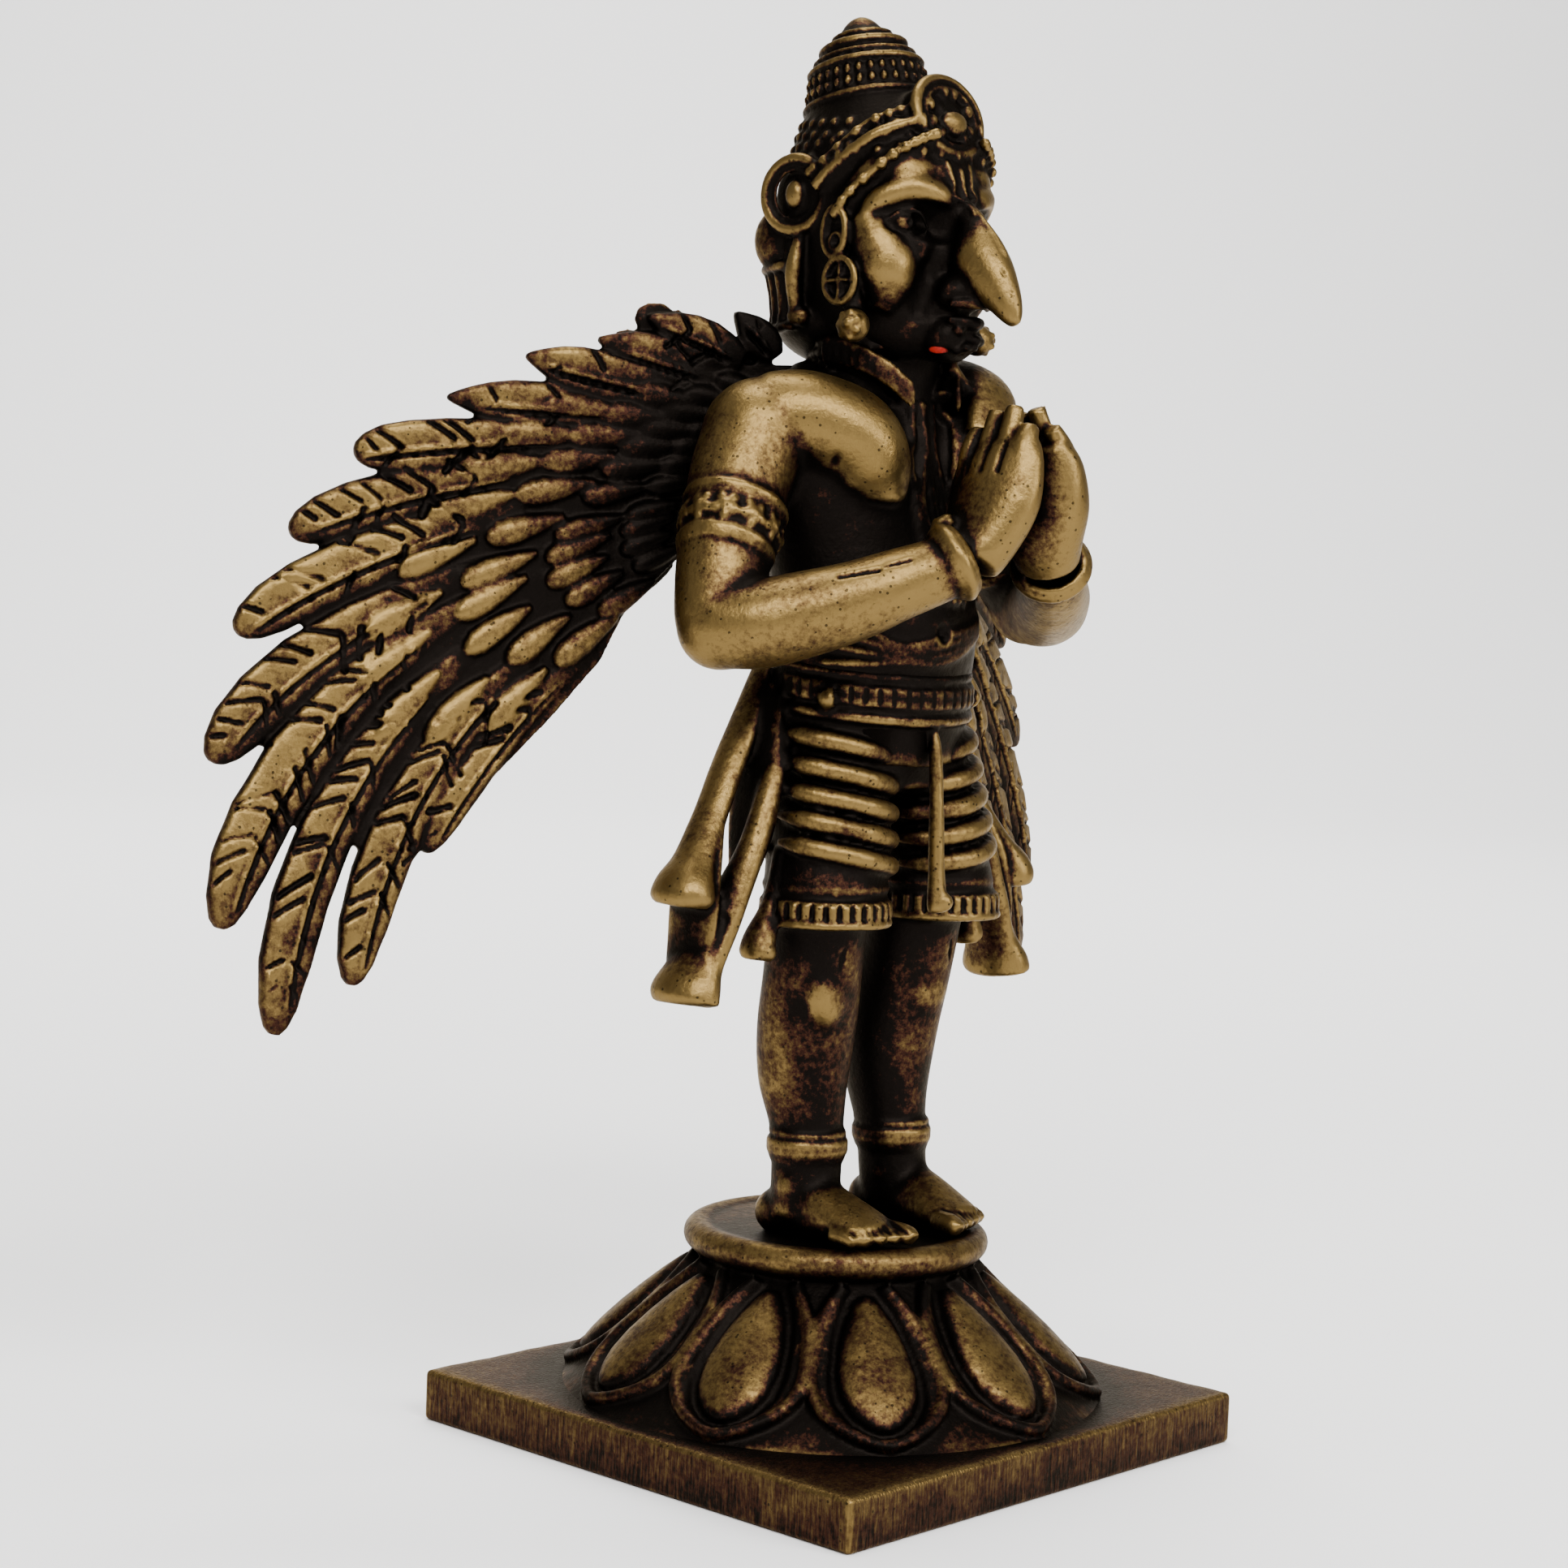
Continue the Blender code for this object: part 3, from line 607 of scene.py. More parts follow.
def shoulder_cloth(bm, tree):
    """The folded cloth over the left shoulder, from the nape down the breast."""
    limb(bm, [(4.6, 4.0, 69.0, 2.6, 1.2), (6.8, 0.8, 71.0, 3.0, 1.3), (7.6, -3.4, 70.9, 3.0, 1.5),
              (7.2, -6.9, 68.9, 2.8, 1.6), (5.6, -8.6, 65.4, 2.6, 1.2)], sides=20)
    for fold in range(5):
        out = 4.9 + 1.35 * fold
        hugging_cord(bm, tree, [(out - 1.4, 6.2, 68.6 - 0.6 * fold), (out, 1.4, 72.8 - 0.6 * fold),
                                (out + 0.3, -3.4, 72.9 - 0.8 * fold),
                                (out - 0.3, -8.4, 70.6 - 0.8 * fold),
                                (out - 1.8, -10.0, 65.0 - 0.7 * fold)], 0.62, 0.9)


def upper_base(bm):
    """The bare upper body."""
    torso(bm)
    arms(bm)
    palms(bm)


def upper_details(bm, tree):
    """What is worn on the upper body, and the fingers."""
    fingers(bm)
    for side in SIDES:
        armlet(bm, side)
        bracelet(bm, side)
    breast_cloth(bm, tree)
    necklace(bm, tree)
    shoulder_cloth(bm, tree)


def upper_marks():
    """Navel, finger grooves, a dimple and a few nicks, as carving strokes."""
    strokes = [dot((0, -9.4, 49.6), 1.0, -0.6),
               ((-12.8, -13.2, 54.6), (-15.0, -11.2, 54.0), 0.35, -0.35),
               ((-10.6, -14.6, 55.4), (-12.4, -13.4, 54.9), 0.25, -0.2),
               ((-18.6, -5.6, 49.6), (-18.0, -6.6, 49.3), 0.5, -0.35)]
    for side in SIDES:
        for (first, top), (second, _) in zip(FINGERS, FINGERS[1:]):
            lie = (first + second) / 2
            strokes.append(((4.2 * side, lie * 0.99, 62.6), (2.4 * side, lie + 0.1, top),
                            0.45, -0.24))
        strokes.append(((1.4 * side, -13.6, 58.6), (1.2 * side, -13.8, 63.6), 0.4, -0.25))
        strokes.append(((0.0, -19.6, 56.4), (0.0, -19.2, 65.4), 0.8, -0.5))
    for side in SIDES:
        strokes.append(((10.4 * side, -4.6, 60.6), (8.8 * side, -6.4, 66.0), 0.6, -0.2))
    return strokes


# Legs, dhoti and scarves

ROLL_HEIGHTS = (40.2, 37.9, 35.7, 33.6, 31.5)
HEM_HEIGHT = 26.1
HEM_OUT = 6.85
HEM_FRONT = -3.65
BELT_HEIGHT = 45.1
WRAP_TOP = 42.0
WRAP_LENGTH = 16.0


def thigh_centre(height):
    """The middle of the wrapped thigh at a height, on the left side."""
    part = (WRAP_TOP - height) / WRAP_LENGTH
    return Vector((4.7 + 2.3 * part, -1.0 - 2.8 * part, height))


def roll(bm, side, height, first, last, thick):
    """One rolled fold of cloth round part of a thigh, thinner at both ends."""
    centre = thigh_centre(height)
    reach = 5.0 - 0.1 * (WRAP_TOP - height) / WRAP_LENGTH
    rows = []
    for step in range(21):
        part = step / 20
        angle = radians(first + (last - first) * part)
        swell = min(1.0, 0.35 + 4.5 * min(part, 1 - part))
        rise = 1.0 * sin(angle) * reach / 5 - 0.3 * cos(angle)
        rows.append(((centre[0] + sin(angle) * reach) * side,
                     centre[1] - cos(angle) * (reach + 0.55), height + rise, thick * swell))
    limb(bm, rows, wide=Z_AXIS, steps=1, sides=12)


def hem_place(side, angle, out, height):
    """A place on the hem: round the thigh, outwards and up."""
    return ((HEM_OUT + sin(angle) * out) * side, HEM_FRONT - cos(angle) * (out + 0.15), height)


def thighs(bm):
    """The wrapped thighs with a plain band and a lip at the hem."""
    for side in SIDES:
        thigh = [(4.6, -0.9, 43.5, 4.8, 5.9), (5.0, -1.5, 38.5, 4.6, 5.3),
                 (5.9, -2.5, 33.0, 4.55, 4.95), (6.3, -3.0, 30.6, 4.8, 5.1),
                 (6.75, -3.5, 28.2, 4.95, 5.1), (6.9, -3.7, 25.8, 4.6, 4.75)]
        limb(bm, both(thigh, side), sides=36)
    limb(bm, [(0, -1.0, 37.0, 8.4, 6.0), (0, -1.2, 41.0, 9.2, 6.8),
              (0, -1.5, 45.0, 9.4, 7.0), (0, -1.6, 48.0, 9.3, 7.1)], sides=40)


def dhoti(bm):
    """Rolled folds round each thigh, the fringe band and the hem's lip."""
    for side in SIDES:
        for height in ROLL_HEIGHTS:
            roll(bm, side, height, -76, 98, 0.84)
            roll(bm, side, height - 0.6, 116, 264, 0.66)
        hoop(bm, (HEM_OUT * side, HEM_FRONT, 27.5), (4.82, 4.97), 0.55)
        hoop(bm, (HEM_OUT * side, HEM_FRONT, 26.9), (4.85, 5.0), 0.55)
        hoop(bm, (6.9 * side, -3.7, HEM_HEIGHT), (5.05, 5.2), 0.36)
        hoop(bm, (6.6 * side, -3.35, 28.9), (4.85, 5.0), 0.30)


TOE_COUNT = 5
TOE_SPACING = 1.25
BELT_NOTCHES = 46
FRINGE_NOTCHES = 30


def belt_rise(angle):
    """The belt lies a little higher at the sides and back."""
    return 0.9 * sin(angle)


def belt(bm):
    """A raised band at the waist, between two cords."""
    hoop(bm, (0, -1.5, BELT_HEIGHT - 0.4), (9.35, 7.1), 0.60, rise=belt_rise)
    hoop(bm, (0, -1.5, BELT_HEIGHT + 0.4), (9.35, 7.1), 0.60, rise=belt_rise)
    hoop(bm, (0, -1.5, BELT_HEIGHT + 1.6), (9.45, 7.2), 0.30, rise=belt_rise)
    hoop(bm, (0, -1.5, BELT_HEIGHT - 1.8), (9.35, 7.1), 0.50, rise=belt_rise)
    for side in SIDES:
        pearl(bm, (8.9 * side, -4.9, 44.2), 0.9)


def sash(bm):
    """The narrow front sash, with a bead and a small flare at its end."""
    limb(bm, [(0.2, -8.0, 42.4, 0.25, 0.3), (0.1, -8.7, 40.4, 0.5, 0.55),
              (0.0, -9.2, 35.0, 0.6, 0.65), (0.0, -9.4, 30.6, 0.68, 0.7),
              (0.0, -9.6, 27.6, 0.85, 0.8), (0.0, -9.7, 26.9, 0.7, 0.65)], sides=16)
    ball(bm, (0.4, -10.2, 27.8), (0.72, 0.6, 0.72), segments=12, rings=8)


def scarves(bm):
    """Two long scarf ends and a small drop from each hip, and the cloth behind them."""
    for side in SIDES:
        limb(bm, both([(9.0, 1.8, 46.0, 1.4, 1.1), (12.9, 1.3, 40.0, 1.55, 1.1),
                       (16.2, 0.6, 34.6, 1.6, 1.2), (18.4, 0.0, 31.2, 1.95, 1.45),
                       (19.6, -0.2, 29.3, 2.75, 2.0), (20.0, -0.3, 28.2, 2.95, 2.15),
                       (20.1, -0.3, 27.6, 2.4, 1.7)], side), wide=Y_AXIS, sides=26)
        limb(bm, both([(9.2, -0.8, 42.0, 0.75, 0.8), (12.0, -1.8, 36.5, 1.05, 1.0),
                       (14.4, -2.1, 31.6, 1.3, 1.1), (16.4, -1.4, 27.0, 2.0, 1.25),
                       (18.2, -0.6, 23.2, 2.6, 1.5), (19.1, -0.4, 21.2, 3.2, 2.1),
                       (19.4, -0.3, 20.2, 3.3, 2.2), (19.5, -0.3, 19.7, 2.6, 1.7)], side),
             wide=Y_AXIS, sides=26)
        limb(bm, both([(10.4, -2.0, 32.0, 0.8, 0.7), (11.6, -2.2, 27.6, 0.95, 0.85),
                       (12.7, -2.0, 24.8, 1.5, 1.2), (12.9, -2.0, 23.6, 1.75, 1.35),
                       (13.0, -2.0, 23.0, 1.3, 1.0)], side), wide=Y_AXIS, sides=18)
        limb(bm, both([(15.8, 0.5, 35.0, 1.2, 0.7), (17.8, 0.2, 30.0, 2.5, 0.9),
                       (18.4, 0.0, 24.0, 2.7, 1.0), (18.8, -0.1, 21.5, 2.5, 1.0)], side),
             wide=Y_AXIS, sides=18)
        limb(bm, both([(9.6, 0.6, 45.0, 1.2, 0.8), (11.2, 0.2, 39.0, 2.4, 0.8),
                       (12.4, -0.4, 34.0, 2.6, 0.7), (13.4, -0.6, 30.0, 1.6, 0.6)], side),
             wide=Y_AXIS, sides=18)


def legs(bm):
    """Bare shins with knees, calves and feet."""
    for side in SIDES:
        shin = [(6.2, -2.2, 29.0, 4.2), (5.7, -1.6, 22.5, 4.1), (5.3, -0.6, 17.0, 4.1),
                (5.2, -0.4, 13.0, 3.8), (5.2, -1.0, 8.4, 3.05), (5.4, -1.3, 4.4, 2.9),
                (5.7, -1.5, 1.4, 2.9)]
        limb(bm, both(shin, side), sides=32)
        ball(bm, (6.0 * side - 0.5, -4.0, 20.2), (2.5, 1.5, 3.0))
        ball(bm, (5.8 * side, 0.3, 1.4), (2.6, 2.9, 2.2))
        ball(bm, (7.9 * side, -1.5, 4.0), (0.8, 0.9, 0.9), segments=12, rings=8)
        ball(bm, (3.2 * side, -1.8, 4.2), (0.8, 0.9, 0.9), segments=12, rings=8)
        foot = [(5.8, -1.0, 2.4, 2.5, 3.1), (5.6, -4.4, 1.9, 2.6, 2.5),
                (5.3, -7.4, 1.3, 2.9, 1.6), (5.1, -9.3, 0.8, 2.8, 1.1)]
        limb(bm, both(foot, side), sides=24)


def toe_place(toe):
    """How far out and how far forward a toe lies on the left foot."""
    return 2.9 + TOE_SPACING * toe, -11.5 + 0.45 * toe


def toes(bm):
    """Five toes on each foot."""
    for side in SIDES:
        for toe in range(TOE_COUNT):
            across, reach = toe_place(toe)
            size = 0.90 if toe == 0 else 0.66
            limb(bm, both([(across + 0.2, reach + 3.0, 1.0, size),
                           (across, reach + 1.2, 0.9, size),
                           (across, reach + 0.5, 0.55, size * 0.8)], side), sides=12)


def ankle_rings(bm, side):
    """Two thick rings between two thin ones round the ankle."""
    for height, radius, thick in ((8.3, 3.05, 0.22), (7.5, 2.98, 0.44), (6.9, 2.96, 0.44),
                                  (6.2, 2.94, 0.22)):
        hoop(bm, (5.25 * side, -1.15, height), (radius, radius), thick)


def lower_base(bm):
    """The legs and the plain mass of the wrapped cloth."""
    legs(bm)
    thighs(bm)


def lower_details(bm, tree):
    """Folds, belt, sash, scarf ends, ankle rings and toes."""
    dhoti(bm)
    belt(bm)
    sash(bm)
    scarves(bm)
    toes(bm)
    for side in SIDES:
        ankle_rings(bm, side)


def lower_marks():
    """Belt and fringe notches, gaps between toes, cracks and cloth hollows."""
    strokes = []
    for angle in angles(BELT_NOTCHES):
        place = (cos(angle) * 10.1, -1.5 + sin(angle) * 7.85)
        middle = BELT_HEIGHT + belt_rise(angle)
        strokes.append(((*place, middle - 0.75), (*place, middle + 0.75), 0.36, -0.4))
    for side in SIDES:
        for angle in angles(FRINGE_NOTCHES):
            strokes.append((hem_place(side, angle, 5.35, 26.75),
                            hem_place(side, angle, 5.35, 27.75), 0.34, -0.42))
        strokes.append(((6.6 * side, -5.6, 24.0), (6.9 * side, -5.7, 22.2), 0.3, -0.3))
        for toe in range(TOE_COUNT - 1):
            across = 3.5 + TOE_SPACING * toe
            strokes.append(((across * side, -11.2 + 0.45 * toe, 1.2),
                            (across * side, -8.2 + 0.3 * toe, 1.9), 0.34, -0.16))
        for toe in range(TOE_COUNT):
            across, reach = toe_place(toe)
            strokes.append(((across * side, reach + 0.6, 1.35), (across * side, reach + 0.9, 1.5),
                            0.45, -0.16))
        for way in (-2.4, 1.8):
            strokes.append(((17.4 * side, way, 26.5), (18.8 * side, way, 21.6), 0.9, -0.45))
            strokes.append(((12.4 * side, way, 38.6), (15.6 * side, way * 0.9, 33.0), 0.6, -0.3))
    return strokes


# Head and crown

CROWN_LEAN = 0.20
CROWN_FOOT = 86.5


def crown_centre(height):
    """The crown's leaning axis at a height."""
    return Vector((0, CROWN_LEAN * (height - CROWN_FOOT) - 0.1, height))


def face(bm):
    """Skull, jaw, cheeks, brows and the hooked beak."""
    limb(bm, [(0, -4.2, 71.4, 3.2, 4.0), (0, -3.6, 73.6, 5.2, 6.0),
              (0, -1.9, 77.0, 7.0, 7.8), (0, -1.2, 81.0, 7.4, 8.4),
              (0, -0.8, 85.0, 7.4, 8.5), (0, -0.2, 89.0, 6.8, 7.4)], sides=40)
    for side in SIDES:
        limb(bm, both([(6.3, -4.2, 82.8, 1.4), (5.6, -5.2, 80.8, 2.2), (4.9, -5.8, 78.6, 2.6),
                       (4.8, -5.7, 76.6, 1.9), (5.1, -5.4, 75.2, 1.0)], side), sides=24)
        ball(bm, (3.1 * side, -6.5, 86.1), (2.9, 2.1, 2.3))
        limb(bm, both([(0.8, -8.6, 83.6, 0.9), (2.4, -8.7, 84.5, 1.05), (4.4, -7.7, 84.9, 1.1),
                       (6.1, -5.9, 84.0, 0.95), (6.7, -4.7, 82.4, 0.6)], side), wide=Z_AXIS,
             sides=16)
    limb(bm, [(0, -7.4, 84.4, 0.75, 1.4), (0, -9.0, 82.6, 1.0, 1.9), (0, -10.7, 80.2, 1.9, 2.5),
              (0, -12.5, 78.2, 1.85, 2.25), (0, -14.0, 76.4, 1.35, 1.6),
              (0, -14.9, 75.0, 0.9, 1.0), (0, -15.3, 74.2, 0.45, 0.5)], steps=5, sides=28)
    ball(bm, (0, -9.4, 76.9), (2.7, 2.4, 1.6))
    ball(bm, (0, -8.6, 73.4), (2.6, 2.3, 2.0))


def crown_mass(bm):
    """The crown's leaning cone."""
    profile = [(84.5, 7.3), (88.0, 7.0), (90.0, 6.3), (92.0, 5.4), (93.0, 4.95),
               (94.0, 4.7), (95.3, 4.4), (96.4, 3.75), (97.6, 2.75), (98.7, 1.75),
               (99.4, 1.2), (99.9, 0.5)]
    limb(bm, [(*crown_centre(height), radius, radius * 1.05) for height, radius in profile],
         steps=4, sides=40)


def head_base(bm):
    """The bare head, its dressed hair and the crown's cone."""
    limb(bm, [(0, -0.7, 69.8, 5.0, 5.0), (0, -1.2, 76.0, 5.0, 5.2)])
    face(bm)
    ball(bm, (0, 1.9, 79.5), (7.3, 7.0, 7.4), segments=32, rings=20)
    ball(bm, (0, 2.3, 74.8), (6.7, 6.0, 3.7), segments=32, rings=16)
    crown_mass(bm)
    ball(bm, (0, -5.7, 91.0), (3.1, 1.9, 3.0))
    for side in SIDES:
        limb(bm, both([(7.0, -0.2, 85.2, 1.1), (6.6, -2.1, 86.7, 1.25), (5.1, -4.9, 88.5, 1.4),
                       (3.2, -6.3, 89.7, 1.4), (1.0, -6.8, 90.2, 1.0)], side),
             wide=Z_AXIS, sides=20)
        limb(bm, both([(7.0, -2.6, 83.6, 0.8), (6.2, -5.2, 86.4, 1.0), (4.2, -6.9, 88.0, 1.1),
                       (2.4, -7.6, 88.8, 0.9)], side), wide=Z_AXIS, sides=20)


def head_hollows():
    """Eye sockets, the hollow beside the beak and the corner under each cheek."""
    strokes = []
    for side in SIDES:
        strokes += [((2.4 * side, -9.2, 82.2), (3.8 * side, -8.9, 82.4), 1.8, -1.7),
                    ((2.4 * side, -9.5, 81.0), (2.9 * side, -9.0, 78.6), 1.3, -0.55),
                    ((2.9 * side, -8.9, 78.2), (3.2 * side, -8.0, 75.4), 1.3, -0.6),
                    ((5.2 * side, -7.7, 82.0), (6.0 * side, -6.6, 81.7), 0.7, -0.4)]
    strokes += [((-2.4, -10.6, 75.3), (2.4, -10.6, 75.3), 0.8, -0.9),
                ((-2.2, -9.8, 71.7), (2.2, -9.8, 71.7), 0.8, -0.4)]
    return strokes


def eyes(bm, tree):
    """Eyeballs between heavy lids, and the thin lines on the brow and forehead."""
    for side in SIDES:
        ball(bm, (4.6 * side, -7.1, 82.2), (1.0, 0.9, 0.85), segments=16, rings=10)
        limb(bm, both([(2.8, -8.2, 81.8, 0.14), (3.8, -8.2, 83.0, 0.20), (5.0, -7.4, 83.1, 0.20),
                       (6.0, -6.5, 82.2, 0.15)], side), wide=Z_AXIS, sides=10)
        limb(bm, both([(2.8, -8.1, 81.6, 0.14), (3.9, -7.9, 81.1, 0.18), (5.0, -7.3, 81.3, 0.18),
                       (6.0, -6.5, 82.0, 0.15)], side), wide=Z_AXIS, sides=10)
        hugging_cord(bm, tree, both([(1.5, -9.2, 87.6), (1.3, -10.2, 86.0), (0.8, -10.8, 84.4),
                                     (0.5, -11.2, 83.0)], side), 0.17, 0.06)
    hugging_cord(bm, tree, [(0, -9.6, 87.0), (0, -10.6, 86.0), (0, -11.4, 83.8),
                            (0, -12.6, 82.0), (0, -14.2, 79.6)], 0.16, 0.04)


def mouth(bm):
    """The dark lips under the beak and the knobbly chin."""
    limb(bm, [(-2.3, -10.4, 75.9, 0.3), (0, -12.0, 76.1, 0.6), (2.3, -10.4, 75.9, 0.3)],
         wide=Z_AXIS, sides=12)
    limb(bm, [(-2.0, -10.0, 74.7, 0.3), (0, -11.2, 74.5, 0.55), (2.0, -10.0, 74.7, 0.3)],
         wide=Z_AXIS, sides=12)
    for index in range(11):
        angle = 2.4 * index
        spot = Vector((1.3 * cos(angle), -10.5 + 0.4 * sin(angle), 73.1 + 0.8 * sin(2.1 * angle)))
        bead(bm, spot, (0.55, 0.5, 0.42))


def face_marks():
    """Pits on the beak, the nostrils and the pupils."""
    strokes = [dot((-1.9, -11.9, 80.9), 0.34, -0.4),
               dot((-2.3, -12.1, 79.3), 0.30, -0.3),
               ((-0.8, -14.2, 78.6), (-0.8, -14.6, 78.2), 0.26, -0.25),
               ((-0.6, -15.4, 76.8), (-0.6, -15.6, 76.4), 0.26, -0.25)]
    for side in SIDES:
        strokes.append(dot((4.7 * side, -7.9, 82.2), 0.4, -0.2))
        strokes.append(((1.9 * side, -10.6, 81.4), (2.4 * side, -10.9, 80.0), 0.4, -0.3))
    return strokes


LOCK_COUNT = 15


def hair(bm, tree):
    """Locks down the back, a strap behind each ear and curls at the nape."""
    for index in range(LOCK_COUNT):
        angle = radians(-84 + 168 * index / (LOCK_COUNT - 1))
        out = Vector((sin(angle) * 9.0, 1.9 + cos(angle) * 9.0, 0))
        hugging_cord(bm, tree, [(out[0], out[1], height) for height in (86.0, 82.0, 78.0, 74.0)],
                     0.46, 0.05)
    for height in (84.6, 78.8, 73.4):
        ring = [(cos(angle) * 9.6, 1.0 + sin(angle) * 9.6, height)
                for angle in (radians(5 + 170 * step / 16) for step in range(17))]
        hugging_cord(bm, tree, ring, 0.42, 0.35, steps=2)
    for side in SIDES:
        ball(bm, (6.4 * side, 4.8, 81.2), (1.6, 2.3, 2.6))
        limb(bm, both([(7.3, 1.4, 81.6, 0.5), (7.7, 1.7, 78.4, 0.75), (7.1, 1.9, 75.4, 0.55)],
                      side), sides=12)
        ball(bm, (6.9 * side, 1.8, 74.9), (0.8, 1.1, 0.8), segments=12, rings=8)


def ear_drops(bm):
    """Each ear with its ring, its round drop with a cross in it, and its bead."""
    for side in SIDES:
        turned = Matrix.Rotation(pi / 2, 4, "Y")
        hoop(bm, (7.8 * side, -2.7, 81.4), (1.95, 1.15), 0.36, turned, steps=28)
        hoop(bm, (7.9 * side, -3.0, 80.6), (0.65, 0.6), 0.24, turned, steps=18)
        ball(bm, (7.0 * side, -2.7, 81.4), (0.8, 1.2, 2.0))
        hoop(bm, (7.9 * side, -3.5, 77.5), (1.75, 1.6), 0.32, turned, steps=28)
        cord(bm, both([(7.9, -3.5, 79.0), (8.0, -3.5, 76.0)], side), 0.22, wide=X_AXIS)
        cord(bm, both([(7.9, -5.0, 77.5), (8.0, -2.0, 77.5)], side), 0.22, wide=X_AXIS)
        ball(bm, (7.1 * side, -3.5, 77.5), (0.7, 1.6, 1.7))
        ball(bm, (7.7 * side, -5.0, 73.9), (1.33, 1.33, 1.33))
        pearl(bm, (8.9 * side, -5.5, 74.0), 0.45)
        for angle in angles(7):
            pearl(bm, (8.4 * side, -5.1 + 1.0 * cos(angle), 73.9 + 1.0 * sin(angle)),
                  0.34)
        limb(bm, both([(6.8, -3.9, 79.4, 0.7), (7.0, -4.2, 76.0, 0.8), (7.2, -4.8, 74.0, 0.7)],
                      side), sides=12)


def beaded_ring(bm, height, radius, count, size):
    """A ring of beads round the crown."""
    centre = crown_centre(height)
    for angle in angles(count):
        spot = centre + Vector((cos(angle) * radius, sin(angle) * radius,
                                -sin(angle) * radius * CROWN_LEAN))
        bead(bm, spot, size, Matrix.Rotation(angle, 4, "Z"))


BLOCK_ROWS = 4
BLOCKS_ROUND = 30


def crown(bm, tree):
    """The crown's rings, bead rows and the rows of small blocks under them."""
    tilt = Matrix.Rotation(-CROWN_LEAN, 4, "X")
    for height, radius, thick in ((92.6, 5.15, 0.32), (95.5, 4.45, 0.34), (96.3, 4.0, 0.24),
                                  (97.2, 3.25, 0.44), (98.2, 2.3, 0.24)):
        hoop(bm, crown_centre(height), (radius, radius * 1.04), thick, tilt)
    beaded_ring(bm, 93.6, 4.95, 32, (0.36, 0.28, 0.42))
    beaded_ring(bm, 94.6, 4.72, 32, (0.34, 0.26, 0.40))
    for row in range(BLOCK_ROWS):
        height = 91.6 - 1.2 * row
        for index in range(BLOCKS_ROUND):
            angle = 2 * pi * (index + 0.5 * (row % 2)) / BLOCKS_ROUND
            spot = crown_centre(height) + Vector((cos(angle) * 9, sin(angle) * 9, 0))
            bead(bm, hug(tree, spot, -0.12), (0.44, 0.44, 0.48))


STRANDS = (([(7.5, 0.6, 86.3), (7.4, -1.0, 87.3), (6.1, -4.1, 90.0), (4.3, -5.8, 91.1),
             (3.3, -6.9, 91.5)], 0.34, 10),
           ([(7.8, -0.4, 85.0), (7.6, -1.8, 86.4), (6.5, -5.1, 88.9), (4.3, -7.1, 90.1),
             (3.2, -7.9, 90.4)], 0.52, 0),
           ([(7.8, -2.6, 82.8), (7.7, -3.7, 84.3), (6.3, -6.6, 87.1), (4.4, -8.0, 88.6),
             (2.9, -8.7, 89.3)], 0.34, 12))


def strands(bm):
    """Strands swept from behind each ear up to the medallion, plain and beaded."""
    for side in SIDES:
        for points, thick, beads in STRANDS:
            rows = both(points, side)
            cord(bm, rows, thick)
            path = smooth_path(rows, 12)
            for index in range(beads):
                spot = path[round((len(path) - 1) * index / (beads - 1))]
                pearl(bm, spot + Vector((0.12 * side, -0.2, 0)), 0.48)


def medallion(bm):
    """The great round flower in front of the crown, inside its rim."""
    facing = Matrix.Rotation(radians(74), 4, "X")
    centre = Vector((0, -7.4, 91.1))
    ball(bm, centre + Vector((0, 0.4, 0)), (3.6, 2.95, 0.6), facing)
    hoop(bm, centre, (3.8, 3.15), 0.50, facing)
    hoop(bm, centre + Vector((0, -0.3, 0)), (3.0, 2.45), 0.20, facing)
    ball(bm, centre + Vector((0, -0.6, -0.6)), (1.5, 0.8, 1.0), segments=14, rings=9)
    for index in range(8):
        angle = 2 * pi * index / 8 + 0.3 + 0.2 * sin(2.3 * index)
        out = facing.to_3x3() @ Vector((cos(angle) * 2.45, sin(angle) * 2.0, 0.15))
        bead(bm, centre + out, (0.55, 0.5, 0.55))


def side_discs(bm):
    """A ringed disc over each ear."""
    for side in SIDES:
        turned = Matrix.Rotation(radians(13) * -side, 4, "Z") @ Matrix.Rotation(pi / 2, 4, "Y")
        front = (7.75 * side, 1.8, 84.6)
        ball(bm, (6.9 * side, 1.8, 84.6), (0.8, 2.8, 2.9))
        hoop(bm, front, (2.85, 2.75), 0.50, turned)
        hoop(bm, front, (2.05, 1.95), 0.18, turned)
        ball(bm, front, (0.7, 0.95, 1.15), segments=14, rings=9)


def head_details(bm, tree):
    """What is worn on the head, the hair's locks, the lids and the mouth."""
    eyes(bm, tree)
    mouth(bm)
    hair(bm, tree)
    ear_drops(bm)
    crown(bm, tree)
    strands(bm)
    medallion(bm)
    side_discs(bm)


# Wings

